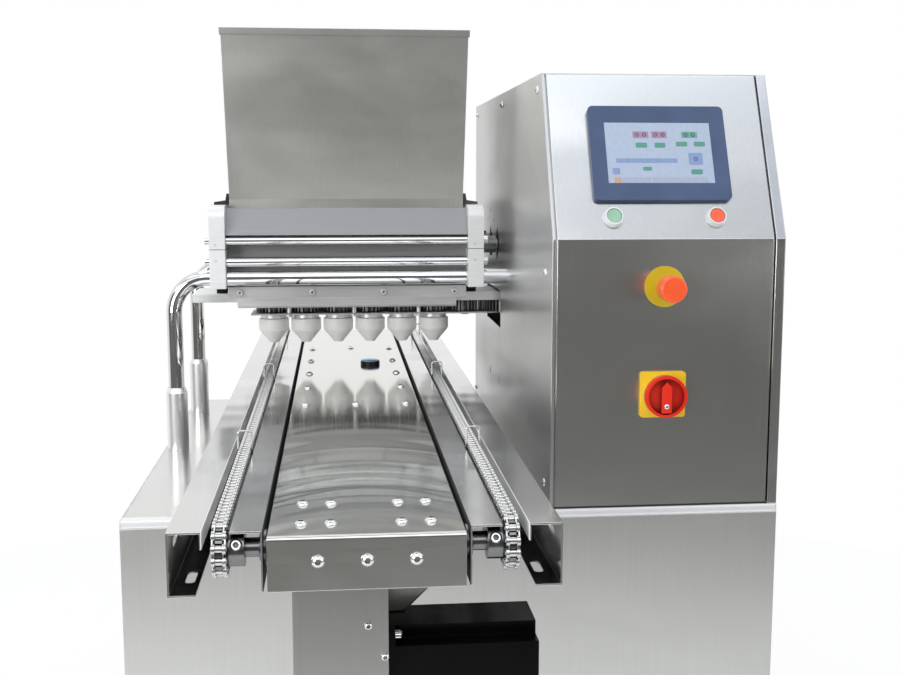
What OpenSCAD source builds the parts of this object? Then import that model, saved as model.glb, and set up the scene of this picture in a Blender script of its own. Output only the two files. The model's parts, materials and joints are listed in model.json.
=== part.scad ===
// Cookie depositor: a tray conveyor with two roller chains, a dough hopper with two fluted
// feed rollers above a row of geared rotating nozzles, a base cabinet and a control cabinet.
// Millimetres, +Z up. The operator stands at -Y and the trays travel along Y.

/* [Chains] */
// Links in each chain loop, an even number
chain_links = 264; // [240:2:280]
// Distance between the chain's rollers
chain_pitch = 12.7; // [12.4:0.1:14]
// Teeth of each conveyor sprocket, an even number
sprocket_teeth = 12; // [12:2:16]
// Diameter of a chain roller
chain_roller_d = 8.5; // [7.5:0.1:8.8]
// Diameter of a chain pin
chain_pin_d = 4.4; // [3.4:0.1:4.8]
// Height of a chain link plate
link_h = 11.8; // [10:0.1:12]
// Height of a link plate at its waist
link_waist = 8.6; // [6:0.1:9.5]
// Thickness of a link plate
link_t = 1.6; // [1.2:0.1:2]
// Clear width between the inner link plates
link_gap = 7.75; // [6.5:0.05:9]
// Clearance between chain pieces
chain_play = 0.15; // [0.1:0.01:0.2]
// How far a pin stands out of the outer plate
pin_head = 0.9; // [0.5:0.1:1.5]
// Height of the chain's centre line above the table plate
chain_rise = 6.7; // [5:0.1:10]
// Links from one tray pusher to the next, an even number
pusher_every = 44; // [40:2:60]
// Link that carries the first tray pusher, an odd number
pusher_first = 17; // [13:2:25]
// Height of a tray pusher above the chain's centre line
pusher_h = 28; // [20:1:30]
// Wire diameter of a tray pusher
pusher_wire_d = 2.6; // [2:0.1:3.2]

/* [Conveyor] */
// Height of the table plate above the floor
table_z = 900; // [850:5:950]
// Width of the centre table plate
table_w = 202; // [180:1:240]
// Depth of the folded skirt of the table plate
table_skirt = 40; // [34:1:50]
// Height of the cover at each end of the table
end_cover_h = 57; // [50:1:64]
// Bend radius along the top of an end cover
end_cover_r = 4; // [4:1:12]
// Thickness of the conveyor's sheet metal
sheet = 2; // [1.5:0.5:3]
// Shaft axis to the end of the conveyor
shaft_inset = 24.9; // [22:0.1:30]
// Diameter of a conveyor shaft
shaft_d = 20; // [16:1:24]
// Diameter of a sprocket's hub
hub_d = 38; // [34:1:42]
// Length of a sprocket's hub
hub_l = 21; // [18:1:26]
// Clearance between a sprocket's hub and the inner rail above it
hub_gap = 2; // [1:0.1:4]
// Gap between the table plate and an inner rail
table_gap = 4; // [2:0.5:8]
// Width of an inner rail's flange
inner_rail_w = 33; // [28:1:40]
// Height of an inner rail's web
inner_rail_h = 63; // [58:1:68]
// Gap between an inner rail and the tray pushers
chain_inner_gap = 0.6; // [0.4:0.1:4]
// Gap between the tray pushers and an outer rail
chain_outer_gap = 7; // [5:0.1:20]
// Width of an outer rail's flanges
rail_w = 35; // [28:1:45]
// Height of an outer rail
rail_h = 67; // [60:1:72]
// Depth of the folded lip of an outer rail
rail_lip = 18; // [10:1:24]
// How much shorter an outer rail's lower flange is
rail_short = 7; // [4:0.5:12]
// Height of an outer rail above the table plate
rail_rise = 7.5; // [4:0.5:12]
// Depth of the bar of a cross member
cross_h = 20; // [15:1:30]
// Width of a cross member along the conveyor
cross_w = 40; // [30:1:60]

/* [Base cabinet] */
// Depth of the base cabinet
base_d = 938; // [880:2:1000]
// Height of the base cabinet's deck above the floor
base_top = 772; // [740:1:790]
// Distance from the conveyor's front end to the base cabinet
base_set = 512; // [450:2:560]
// Support tube's leg to the left face of the base cabinet
leg_inset = 23; // [22:1:60]
// Clear height under the base cabinet
foot_h = 92; // [70:1:120]
// Diameter of a levelling foot's pad
foot_pad_d = 80; // [60:1:100]
// Diameter of a levelling foot's stem
foot_stem_d = 16; // [12:1:20]
// Side of the base frame's square tube
frame_tube = 40; // [30:1:50]
// Wall of the base frame's square tube
frame_wall = 2; // [1.5:0.5:4]
// Side of the plate in a frame corner that takes a levelling foot
foot_plate = 60; // [50:1:90]
// Thickness of the cabinet sheets
panel_t = 2; // [1.5:0.5:3]
// Depth of the deck's folded edge
deck_lip = 12; // [8:1:30]

/* [Control cabinet] */
// Gap between the head and the control cabinet
cab_gap = 45; // [40:1:60]
// Width of the control cabinet
cab_w = 345; // [335:1:375]
// Height of the control cabinet above the deck
cab_h = 642; // [600:1:700]
// Height of the upright part of the front panel
cab_bend = 398; // [380:1:420]
// How far the slanted panel leans back
cab_lean = 111; // [80:1:150]
// Setback of the front panel from the base's front face
cab_set = 5; // [4:1:20]
// Width of the left wall's folded front edge
edge_w = 5; // [4:0.5:8]
// Gap on each side of the front panel
panel_gap = 2; // [1:0.5:3]
// Width of the right-hand cover's front strip
strip_w = 14; // [10:1:20]
// How far that strip stands out of the front panel
strip_proud = 3; // [2:0.5:4]

/* [Controls] */
// Width of the touch panel's bezel
hmi_w = 206; // [180:1:230]
// Height of the touch panel's bezel
hmi_h = 152; // [130:1:160]
// Thickness of the touch panel's bezel
hmi_t = 8; // [5:0.5:10]
// Width of the screen
screen_w = 160; // [140:1:172]
// Height of the screen
screen_h = 98; // [84:1:110]
// Centre of the touch panel above the bend, along the slant
hmi_up = 134; // [128:1:140]
// Centre of the touch panel from the cabinet's left face
hmi_x = 167; // [155:1:175]
// Diameter of a push button's bezel
bezel_d = 31; // [28:0.5:34]
// How far a push button's bezel stands out of the panel
bezel_h = 10; // [8:0.5:12]
// Diameter of a push button's cap
cap_d = 22; // [20:0.5:22.5]
// Diameter of a push button's panel hole
button_hole_d = 22.4; // [22:0.1:23]
// Travel of a push button
button_travel = 4; // [3:0.5:5]
// Push buttons above the bend, along the slant
button_up = 33; // [26:1:38]
// Start button from the cabinet's left face
start_x = 91; // [85:1:105]
// Stop button from the cabinet's left face
stop_x = 244; // [225:1:255]
// Diameter of the emergency stop's ring plate
estop_ring_d = 60; // [56:1:70]
// How far the emergency stop's collar stands out of the panel
estop_collar = 16; // [12:1:20]
// Diameter of the emergency stop's mushroom head
estop_d = 38; // [34:1:44]
// Length of the emergency stop's mushroom head
estop_h = 30; // [22:1:34]
// Travel of the emergency stop
estop_travel = 6; // [4:0.5:7]
// Emergency stop above the deck
estop_up = 329; // [300:1:350]
// Side of the main switch's plate
switch_side = 68; // [62:1:74]
// Diameter of the main switch's ring handle
switch_d = 62; // [54:1:64]
// How far the main switch's collar stands out of the panel
switch_collar = 15; // [10:1:20]
// Height of the main switch's ring handle
switch_h = 10; // [8:0.5:14]
// Main switch above the deck
switch_up = 170; // [140:1:200]
// Emergency stop and main switch from the cabinet's left face
switch_x = 166; // [155:1:180]

/* [Head] */
// Distance from the conveyor's front end to the row of nozzles
head_y = 1150; // [1120:2:1180]
// Head's middle from the conveyor's centre line
head_shift = -7; // [-12:0.5:0]
// Clear width between the side plates
head_w = 432; // [424:2:450]
// Thickness of a side plate
side_t = 28; // [22:1:32]
// Depth of a side plate
side_d = 400; // [390:2:420]
// Side plates' lower edge above the table plate
side_z = 163.5; // [158:0.5:175]
// Height of the side plates' lower half
side_lower_h = 69.5; // [66:0.5:76]
// Height of the side plates' upper half
side_upper_h = 78; // [70:1:90]
// Corner radius of the side plates
side_r = 22; // [12:1:30]
// Diameter of the bent support tubes
tube_d = 28; // [24:1:30]
// Wall of the support tubes
tube_wall = 2; // [1.5:0.5:3]
// Wall left below a support tube in the side plate
tube_floor = 3.5; // [3:0.5:6]
// Support tube from the nozzle row, front and back
tube_dy = 173; // [168:1:178]
// Straight run of a support tube between its bend and the head
tube_gap = 7; // [3:1:12]
// Bend radius of a support tube's centre line
tube_bend_r = 60; // [45:1:80]
// Diameter of a post sleeve
sleeve_d = 38; // [34:1:44]
// Height of a post sleeve
sleeve_h = 112; // [80:1:140]
// Diameter of a tie rod
rod_d = 17; // [14:0.5:18]
// Tie rods from the nozzle row, front and back
rod_dy = 182; // [178:1:184]
// Upper tie rod above the rollers' axis
rod_up = 15; // [13:0.5:18]
// Lower tie rod below the rollers' axis
rod_down = 23; // [20:0.5:25]
// Radial clearance of fixed parts in their holes
fit = 0.05; // [0.02:0.01:0.08]
// Radial clearance of turning parts in their bearings
run = 0.05; // [0.02:0.01:0.08]

/* [Hopper and rollers] */
// Height of the hopper
hopper_h = 310; // [260:5:340]
// Width of the hopper's mouth
hopper_top_w = 430; // [420:2:460]
// Gap between the hopper's foot and a side plate
hopper_gap = 6; // [4:0.5:10]
// Height of the upright band at the hopper's foot
foot_band = 16; // [10:1:24]
// Depth of the hopper's mouth
hopper_top_d = 410; // [380:2:430]
// Depth of the hopper's foot
hopper_foot_d = 320; // [304:2:330]
// Thickness of the hopper's sheet
hopper_t = 2; // [1.5:0.5:3]
// Height of the hopper's folded rim
rim_h = 11; // [8:1:16]
// Distance between the feed rollers' axes
roller_pitch = 96; // [94:1:100]
// Diameter of a feed roller
roller_d = 92; // [84:0.5:93]
// Flutes round a feed roller
roller_flutes = 20; // [12:1:28]
// Radius of a flute
flute_r = 4; // [2.5:0.1:4.5]
// Diameter of a feed roller's shaft
roller_shaft_d = 25; // [20:1:28]
// Clearance between a feed roller and its housing
roller_gap = 1.2; // [0.6:0.1:2]
// Width of the slot below the rollers
slot_w = 28; // [20:1:34]
// Outside diameter of a roller bush
bush_d = 40; // [36:1:46]

/* [Nozzles] */
// Module of the nozzle gears
gear_module = 2.5; // [2.4:0.05:2.6]
// Teeth of a nozzle gear
gear_teeth = 25; // [24:1:26]
// Teeth of the drive gear
drive_teeth = 50; // [46:1:54]
// Middle of the nozzle row from the conveyor's centre line
nozzle_shift = 5.5; // [0:0.5:8]
// Tooth thinning on each flank for backlash
gear_play = 0.12; // [0.08:0.01:0.2]
// Width of the gear teeth
gear_h = 22; // [14:1:24]
// Thickness of the carrier beam
beam_h = 16.5; // [12:0.5:22]
// Depth of the carrier beam
beam_d = 124; // [110:2:140]
// Left end of the carrier beam from the conveyor's centre
beam_left = 299; // [290:1:300]
// Thickness of the discharge flange
flange_h = 22; // [18:0.5:26]
// Clearance above and below the gears
gear_gap = 1; // [0.6:0.1:1.5]
// Thickness of the gear plate
gear_plate_t = 3; // [2:0.5:4]
// Diameter of a nozzle's hollow spindle
spindle_d = 38; // [34:1:42]
// Diameter of a nozzle's dough bore
nozzle_bore = 24; // [16:1:26]
// Diameter of a nozzle's collar
collar_d = 50; // [46:1:54]
// Height of a nozzle's collar
collar_h = 9; // [7:0.5:12]
// Diameter of a nozzle cup
cup_d = 58; // [50:1:60]
// Height of a nozzle cup's straight wall
cup_h = 22.5; // [14:0.5:26]
// Height of a nozzle cup's cone
cone_h = 24.5; // [18:0.5:28]
// Diameter of a nozzle's tip
tip_d = 19; // [14:0.5:20]
// Diameter of a nozzle's outlet
outlet_d = 8; // [5:0.5:9]

/* [Drive and sensor] */
// Side of the conveyor motor
motor_s = 110; // [100:1:120]
// Length of the conveyor motor
motor_l = 169; // [140:1:190]
// Depth of the conveyor motor's corner notches along the conveyor
motor_notch = 24; // [18:1:28]
// Conveyor motor's axis below the table plate
motor_drop = 197; // [190:1:205]
// Conveyor motor's axis from the conveyor's front end
motor_y = 148; // [144:1:156]
// Width of the drive housing
housing_w = 104; // [90:1:120]
// Depth of the drive housing
housing_d = 135; // [130:1:150]
// Front of the drive housing from the conveyor's front end
housing_y = 80; // [76:1:84]
// Right-hand wall of the drive housing from the conveyor's centre
housing_x = 24; // [10:1:40]
// Bottom of the drive housing below the table plate
housing_drop = 262; // [256:1:300]
// Diameter of the tray sensor's head
sensor_d = 37; // [33:1:44]
// Height of the tray sensor's head
sensor_h = 8; // [6:1:14]
// Diameter of the tray sensor's barrel through the table plate
sensor_barrel_d = 30; // [22:1:32]
// Tray sensor from the conveyor's centre
sensor_x = 35; // [0:1:60]
// Tray sensor in front of the nozzle row
sensor_ahead = 40; // [36:1:80]

/* [Hidden] */
$fn = 48;
NOZZLES = 6;

// Conveyor lengths and heights, measured from its front end, centre line and table plate
sprocket_r = chain_pitch / (2 * sin(180 / sprocket_teeth));
strand_r = sprocket_r * cos(180 / sprocket_teeth);
strand_links = (chain_links - sprocket_teeth) / 2;
shaft_span = strand_links * chain_pitch;
conveyor_l = shaft_span + 2 * shaft_inset;
shaft_z = chain_rise - strand_r;
inner_plate_x = link_gap / 2 + link_t;
outer_plate_x = inner_plate_x + chain_play + link_t;
chain_half_w = outer_plate_x + pin_head;
lane_half_w = outer_plate_x + pusher_wire_d;
inner_rail_x = table_w / 2 + table_gap;
chain_x = inner_rail_x + inner_rail_w + chain_inner_gap + lane_half_w;
rail_x = chain_x + lane_half_w + chain_outer_gap + rail_w;
rail_bottom = rail_rise - rail_h;
pusher_low = chain_rise - 2 * strand_r - pusher_h - pusher_wire_d;
cross_top = pusher_low - 5;
sprocket_t = link_gap - 0.55;
rail_start = 3;
slot_d = 10;
slot_y = 56;
inner_rail_rise = shaft_z + hub_d / 2 + hub_gap + sheet;

// Widths that follow from the head: its side plates, the tubes beside them and both cabinets
side_x = head_w / 2;
side_out = side_x + side_t;
tube_leg_x = side_out - head_shift + tube_gap + tube_bend_r;
base_left = tube_leg_x + leg_inset;
cab_left = side_out + head_shift + cab_gap;
base_right = cab_left + cab_w;
base_w = base_left + base_right;

// Base and control cabinet, in the same place
deck_z = base_top - table_z;
floor_z = -table_z;
base_back = base_set + base_d;
foot_inset = panel_t + frame_tube + foot_plate / 2;
foot_xs = [-base_left + foot_inset, base_right - foot_inset];
foot_ys = [base_set + foot_inset, base_back - foot_inset];
cab_front = base_set + cab_set;
cab_slope = atan(cab_lean / (cab_h - cab_bend));
cab_slant = norm([cab_lean, cab_h - cab_bend]);
strip_left = base_right - strip_w;
gland_d = 20;
gland_up = 60;

// Depositor head
roller_z = side_z + side_lower_h;
side_top = roller_z + side_upper_h;
tube_z = side_z + tube_floor + tube_d / 2;
rod_zs = [roller_z + rod_up, roller_z - rod_down];
hopper_z = side_top - 6;
hopper_foot_w = head_w - 2 * hopper_gap;
wall_front = tube_dy - tube_d / 2 - 4;
flange_top = side_z + 0.5;
beam_top = flange_top - flange_h;
beam_z = beam_top - beam_h;
gear_top = beam_z - 2 * gear_gap;
gear_z = gear_top - gear_h;
plate_top = gear_z - gear_gap;
plate_z = plate_top - gear_plate_t;
collar_top = plate_z - 0.3;
cup_top = collar_top - collar_h;
nozzle_pitch = gear_module * gear_teeth;
gear_tip_r = gear_module * (gear_teeth / 2 + 1);
function nozzle_x(i) = nozzle_shift + (i - (NOZZLES + 1) / 2) * nozzle_pitch;
idler_x = nozzle_x(NOZZLES + 1);
drive_x = idler_x + gear_module * (gear_teeth + drive_teeth) / 2;
drive_tip_r = gear_module * (drive_teeth / 2 + 1);
beam_right = drive_x + 40;
axle_d = 12;
roller_gear_m = 3;
roller_gear_z = 2 * round(roller_pitch / roller_gear_m / 2);
roller_gear_x = cab_left + panel_t + 18;
roller_gear_w = 20;
opening_w = beam_d + 76;
motor_z = -motor_drop;
spigot_d = 40;

// Moves the conveyor's own frame to the floor centre of the whole machine
module place() {
    translate([(base_left - base_right) / 2, -conveyor_l / 2, table_z]) children();
}

// Moves a piece of the head sideways to its place over the conveyor
module head_place() {
    place() translate([head_shift, 0, 0]) children();
}

// A copy on each side of the centre line
module both_sides() {
    children();
    mirror([1, 0, 0]) children();
}

// A copy in front of and behind the nozzle row
module fore_and_aft() {
    translate([0, head_y, 0]) {
        children();
        mirror([0, 1, 0]) children();
    }
}

// A block between two corners
module block(low, high) {
    translate(low) cube(high - low);
}

// A round bar along X
module bar_x(d, x0, x1) {
    translate([x0, 0, 0]) rotate([0, 90, 0]) cylinder(d = d, h = x1 - x0);
}

// An outline drawn in Y and Z, carried along X
module along_x(x0, x1) {
    translate([x0, 0, 0]) rotate([90, 0, 90]) linear_extrude(x1 - x0) children();
}

// An outline drawn in X and Z, carried along Y
module along_y(y0, y1) {
    translate([0, y1, 0]) rotate([90, 0, 0]) linear_extrude(y1 - y0) children();
}

// A rounded rectangle around the origin
module rounded(w, h, r) {
    union() {
        square([w - 2 * r, h], center = true);
        square([w, h - 2 * r], center = true);
        for (x = [-1, 1], y = [-1, 1]) translate([x * (w / 2 - r), y * (h / 2 - r)]) circle(r);
    }
}

// Spur gear outline with involute flanks, a tooth on +X, thinned for backlash
function flank_point(base_r, a) = [base_r * norm([1, a]), (a - atan(a) * PI / 180) * 180 / PI];
function polar(r, a) = [r * cos(a), r * sin(a)];

module gear_outline(m, z, play) {
    steps = 3;
    pitch_r = m * z / 2;
    base_r = pitch_r * cos(20);
    root_r = pitch_r - 1.25 * m;
    tip_a = sqrt(pow((pitch_r + m) / base_r, 2) - 1);
    flank = [for (i = [0:steps]) flank_point(base_r, tip_a * i / steps)];
    half = 90 / z + tan(20) * 180 / PI - 20 - play / pitch_r * 180 / PI;
    polygon([for (k = [0:z - 1]) each concat(
        [polar(root_r, 360 * k / z - half)],
        [for (i = [0:steps]) polar(flank[i][0], 360 * k / z - half + flank[i][1])],
        [for (i = [steps:-1:0]) polar(flank[i][0], 360 * k / z + half - flank[i][1])],
        [polar(root_r, 360 * k / z + half)])]);
}

// Members of the base frame, or the hollow inside them when shrunk by the tube's wall
module frame_members(inset) {
    x0 = -base_left + panel_t + inset;
    x1 = base_right - panel_t - inset;
    y0 = base_set + panel_t + inset;
    y1 = base_back - panel_t - inset;
    z0 = floor_z + foot_h + inset;
    z1 = deck_z - panel_t - inset;
    side = frame_tube - 2 * inset;
    for (x = [x0, x1 - side], y = [y0, y1 - side])
        block([x, y, z0 - 2 * inset], [x + side, y + side, z1]);
    for (z = [z0, z1 - side]) {
        for (y = [y0, y1 - side]) block([x0, y, z], [x1, y + side, z + side]);
        for (x = [x0, x1 - side]) block([x, y0, z], [x + side, y1, z + side]);
    }
}

// Welded square-tube frame inside the base cabinet, with a foot plate in each lower corner
module base_frame() {
    color("dimgray") place() union() {
        difference() {
            frame_members(0);
            frame_members(frame_wall);
        }
        for (x = foot_xs, y = foot_ys) translate([x, y, floor_z + foot_h + 4])
            cube([foot_plate + frame_wall, foot_plate + frame_wall, 8], center = true);
    }
}

// Top sheet with its edge folded down over the panels
module base_deck() {
    color("silver") place() difference() {
        block([-base_left, base_set, deck_z - deck_lip], [base_right, base_back, deck_z]);
        block([-base_left + panel_t, base_set + panel_t, deck_z - deck_lip - 1],
            [base_right - panel_t, base_back - panel_t, deck_z - panel_t]);
    }
}

// Front sheet below the deck's edge
module base_front_panel() {
    color("silver") place() block([-base_left, base_set, floor_z + foot_h],
        [base_right, base_set + panel_t, deck_z - deck_lip]);
}

// A stack of cooling slots in a rear sheet, counted down from the upper one
module cooling_slots(x, top, width, count) {
    step = 18;
    height = 6;
    for (i = [0:count - 1]) translate([x, base_back - panel_t / 2, top - step * i])
        cube([width, 3 * panel_t, height], center = true);
}

// Left, right and rear sheets in one fold, with two stacks of cooling slots in the rear
module base_panels() {
    low = floor_z + foot_h;
    high = deck_z - deck_lip;
    middle = (base_right - base_left) / 2;
    slots_down = 160;
    color("silver") place() difference() {
        block([-base_left, base_set + panel_t, low], [base_right, base_back, high]);
        block([-base_left + panel_t, base_set, low - 1],
            [base_right - panel_t, base_back - panel_t, high + 1]);
        for (s = [-1, 1]) cooling_slots(middle + s * base_w / 4, deck_z - slots_down, base_w / 7, 8);
    }
}

// Pads, stems and lock nuts under the frame's foot plates
module levelling_feet() {
    pad_h = 14;
    boss_h = 12;
    nut_h = 13;
    color("gray") place() for (x = foot_xs, y = foot_ys) translate([x, y, floor_z]) union() {
        cylinder(d = foot_pad_d, h = pad_h);
        translate([0, 0, pad_h]) cylinder(d1 = foot_pad_d * 0.7, d2 = foot_stem_d * 1.5, h = boss_h);
        cylinder(d = foot_stem_d, h = foot_h);
        translate([0, 0, foot_h - nut_h]) cylinder(d = foot_stem_d * 1.8, h = nut_h, $fn = 6);
    }
}

// Side outline of the control cabinet in Y and Z, moved in by a wall
module cabinet_outline(inset = 0) {
    run_in = inset / cos(cab_slope);
    rise = inset * tan(cab_slope / 2);
    polygon([[cab_front + inset, deck_z], [cab_front + inset, deck_z + cab_bend + rise],
        [cab_front + cab_lean + run_in - inset * tan(cab_slope), deck_z + cab_h - inset],
        [base_back - inset, deck_z + cab_h - inset], [base_back - inset, deck_z]]);
}

// A place on the front panel, with Z standing out of it
module on_front(x, up) {
    translate([cab_left + x, cab_front, deck_z + up]) rotate([90, 0, 0]) children();
}

// A place on the slanted panel, measured up from the bend, with Z standing out of it
module on_slant(x, up) {
    translate([cab_left + x, cab_front + up * sin(cab_slope), deck_z + cab_bend + up * cos(cab_slope)])
        rotate([90 - cab_slope, 0, 0]) children();
}

// Front part of that outline as a sheet, upright and then bent back
module front_fold() {
    difference() {
        cabinet_outline();
        cabinet_outline(panel_t);
        translate([cab_front + cab_lean, deck_z - 1]) square([base_d, cab_h + 2]);
    }
}

// Square openings on edge round the roller shafts, and the holes of the roller motor's screws
module shaft_openings() {
    side = 46;
    hole_d = 6;
    hole_ring = 62;
    fore_and_aft() translate([cab_left, -roller_pitch / 2, roller_z]) rotate([45, 0, 0])
        cube([4 * panel_t, side, side], center = true);
    translate([cab_left - 1, head_y + roller_pitch / 2, roller_z]) for (a = [45:45:135], s = [-1, 1])
        rotate([s * a, 0, 0]) translate([0, hole_ring, 0]) bar_x(hole_d, 0, panel_t + 2);
}

// Opening for the nozzle drive, and below it four slots for the screws of its motor
module drive_opening() {
    low = plate_z - 22;
    high = beam_top + 4;
    slot = [4 * panel_t, 5, 14];
    slot_span = [130, 87];
    slots_ahead = 22;
    slots_down = 60;
    block([cab_left - 1, head_y - opening_w / 2, low],
        [cab_left + panel_t + 1, head_y + opening_w / 2, high]);
    translate([cab_left, head_y - slots_ahead, low - slots_down]) for (y = [-0.5, 0.5], z = [-0.5, 0.5])
        translate([0, y * slot_span[0], z * slot_span[1]]) cube(slot, center = true);
}

// Left wall with a folded front edge, open for the support tubes, the rollers and the nozzle drive
module cabinet_left_wall() {
    color("silver") place() difference() {
        union() {
            along_x(cab_left, cab_left + panel_t) cabinet_outline();
            along_x(cab_left, cab_left + edge_w) front_fold();
        }
        fore_and_aft() translate([0, -tube_dy, tube_z])
            bar_x(tube_d + 1, cab_left - 1, cab_left + panel_t + 1);
        shaft_openings();
        drive_opening();
    }
}

// Front sheet, upright and then bent back, with cut-outs for the controls
module cabinet_front_panel() {
    color("silver") place() difference() {
        along_x(cab_left + edge_w + panel_gap, strip_left - panel_gap) front_fold();
        on_slant(hmi_x, hmi_up) cube([hmi_w - 16, hmi_h - 16, 20], center = true);
        for (x = [start_x, stop_x]) on_slant(x, button_up)
            cylinder(d = button_hole_d, h = 20, center = true);
        on_front(switch_x, estop_up) cylinder(d = button_hole_d, h = 20, center = true);
        on_front(switch_x, switch_up) cylinder(d = button_hole_d, h = 20, center = true);
    }
}

// Right-hand cover, a tray whose front strip stands proud of the front sheet
module cabinet_right_cover() {
    color("gainsboro") place() union() {
        along_x(base_right - panel_t, base_right) cabinet_outline();
        along_x(strip_left, base_right) difference() {
            union() {
                cabinet_outline();
                translate([-strip_proud, 0]) cabinet_outline();
            }
            translate([panel_t, 0]) cabinet_outline();
            translate([cab_front + cab_lean, deck_z - 1]) square([base_d, cab_h + 2]);
        }
    }
}

// Roof and rear sheet in one fold, with cooling slots in the rear
module cabinet_rear_panel() {
    slots_down = 120;
    color("silver") place() difference() {
        along_x(cab_left + panel_t, base_right - panel_t) difference() {
            cabinet_outline();
            cabinet_outline(panel_t);
            translate([cab_front - 1, deck_z - 1]) square([cab_lean + 1, cab_h + 2]);
        }
        cooling_slots(cab_left + cab_w / 2, deck_z + cab_h - slots_down, cab_w * 0.43, 10);
        translate([cab_left + cab_w / 2, base_back + 1, deck_z + gland_up]) rotate([90, 0, 0])
            cylinder(d = gland_d + 0.5, h = 3 * panel_t);
    }
}

// Cable entry at the foot of the rear sheet
module cable_gland() {
    nut_h = 8;
    color("black") place() translate([cab_left + cab_w / 2, base_back, deck_z + gland_up])
        rotate([-90, 0, 0]) difference() {
            union() {
                translate([0, 0, -16]) cylinder(d = gland_d, h = 17);
                cylinder(d = gland_d + 7, h = nut_h, $fn = 6);
                translate([0, 0, nut_h]) cylinder(d1 = gland_d + 5, d2 = gland_d - 3, h = 14);
            }
            translate([0, 0, -17]) cylinder(d = gland_d * 0.55, h = 45);
        }
}

// Touch panel's rounded bezel with its sunk screen field and the box behind it
module hmi_bezel() {
    color("darkslategray") place() on_slant(hmi_x, hmi_up) difference() {
        union() {
            linear_extrude(hmi_t) rounded(hmi_w, hmi_h, 8);
            translate([0, 0, -34]) linear_extrude(34) square([hmi_w - 18, hmi_h - 18], center = true);
        }
        translate([0, 0, hmi_t - 1.5]) linear_extrude(4) square([screen_w, screen_h], center = true);
    }
}

// Glass of the screen, laid in the bezel
module hmi_screen() {
    color("lightsteelblue") place() on_slant(hmi_x, hmi_up) translate([0, 0, hmi_t - 1.5])
        linear_extrude(1) square([screen_w - 0.4, screen_h - 0.4], center = true);
}

// Bezels of the two push buttons, with their threaded barrels and nuts behind the panel
module button_bezels() {
    rim = bezel_h * 0.4;
    color("lightgray") place() for (x = [start_x, stop_x]) on_slant(x, button_up) difference() {
        union() {
            cylinder(d = bezel_d, h = rim);
            translate([0, 0, rim]) cylinder(d1 = bezel_d, d2 = bezel_d - 4, h = bezel_h - rim);
            translate([0, 0, -30]) cylinder(d = button_hole_d - 2 * fit, h = 31);
            translate([0, 0, -panel_t - 6]) cylinder(d = bezel_d - 1, h = 6, $fn = 6);
        }
        translate([0, 0, -22]) cylinder(d = cap_d - 3, h = 40);
        translate([0, 0, 0.2]) cylinder(d = cap_d + 0.6, h = 40);
    }
}

// A push button's cap on its stem, with a rounded rim and a dished face
module push_cap() {
    low = button_travel + 0.5;
    high = bezel_h - 1.5;
    stem_r = cap_d / 2 - 2;
    rotate_extrude() polygon([[0, -14], [stem_r, -14], [stem_r, low], [cap_d / 2, low],
        [cap_d / 2, high], [cap_d / 2 - 1, high + 0.8], [cap_d / 2 - 4, high + 0.4], [0, high - 0.3]]);
}

module start_button() {
    color("seagreen") place() on_slant(start_x, button_up) push_cap();
}

module stop_button() {
    color("orangered") place() on_slant(stop_x, button_up) push_cap();
}

// Round plate of the emergency stop, with its collar and barrel
module estop_ring() {
    color("gold") place() on_front(switch_x, estop_up) difference() {
        union() {
            cylinder(d = estop_ring_d, h = 2);
            cylinder(d = 30, h = estop_collar);
            translate([0, 0, -40]) cylinder(d = button_hole_d - 2 * fit, h = 41);
            translate([0, 0, -panel_t - 6]) cylinder(d = 30, h = 6, $fn = 6);
        }
        translate([0, 0, -30]) cylinder(d = 16, h = 60);
    }
}

// Mushroom head with a rounded rim on its stem
module estop_button() {
    low = estop_collar + estop_travel + 0.5;
    top = low + estop_h;
    stem_r = 7.6;
    rim_r = 3;
    color("orangered") place() on_front(switch_x, estop_up) rotate_extrude() union() {
        polygon([[0, -20], [stem_r, -20], [stem_r, low], [estop_d / 2 - 2, low], [estop_d / 2, low + 2],
            [estop_d / 2, top - rim_r], [estop_d / 2 - rim_r, top - rim_r], [estop_d / 2 - rim_r, top],
            [0, top]]);
        translate([estop_d / 2 - rim_r, top - rim_r]) circle(rim_r);
    }
}

// Square plate of the main switch with a round collar and its shaft hole
module switch_plate() {
    color("gold") place() on_front(switch_x, switch_up) difference() {
        union() {
            linear_extrude(5) rounded(switch_side, switch_side, 5);
            cylinder(d = switch_d + 2, h = switch_collar);
            translate([0, 0, -40]) cylinder(d = button_hole_d - 2 * fit, h = 41);
            translate([0, 0, -panel_t - 6]) cylinder(d = 30, h = 6, $fn = 6);
        }
        translate([0, 0, -30]) cylinder(d = axle_d, h = 60);
    }
}

// Turning ring handle with a dished face and a pointed grip bar across it
module switch_handle() {
    low = switch_collar + 0.4;
    floor_h = 1.5;
    grip = switch_d * 0.12;
    color("red") place() on_front(switch_x, switch_up) union() {
        translate([0, 0, -20]) cylinder(d = axle_d - 2 * run, h = low + 21);
        translate([0, 0, low]) difference() {
            cylinder(d = switch_d, h = switch_h);
            translate([0, 0, floor_h]) cylinder(d = switch_d - 9, h = switch_h);
        }
        translate([0, 0, low]) linear_extrude(switch_h + 2) polygon([[-grip, -3.2 * grip],
            [grip, -3.2 * grip], [grip, 1.9 * grip], [0, 2.95 * grip], [-grip, 1.9 * grip]]);
    }
}

// A support tube, or its bore run past both ends: upright leg, quarter bend, level run
module support_tube(d, past) {
    translate([-tube_leg_x, 0, deck_z - past]) cylinder(d = d, h = tube_z - tube_bend_r - deck_z + past);
    translate([-tube_leg_x + tube_bend_r, 0, tube_z - tube_bend_r]) rotate([90, 0, 0])
        rotate_extrude(angle = 90, start = 90) translate([tube_bend_r, 0]) circle(d = d);
    translate([0, 0, tube_z]) bar_x(d, -tube_leg_x + tube_bend_r, cab_left + 50 + past);
}

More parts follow.
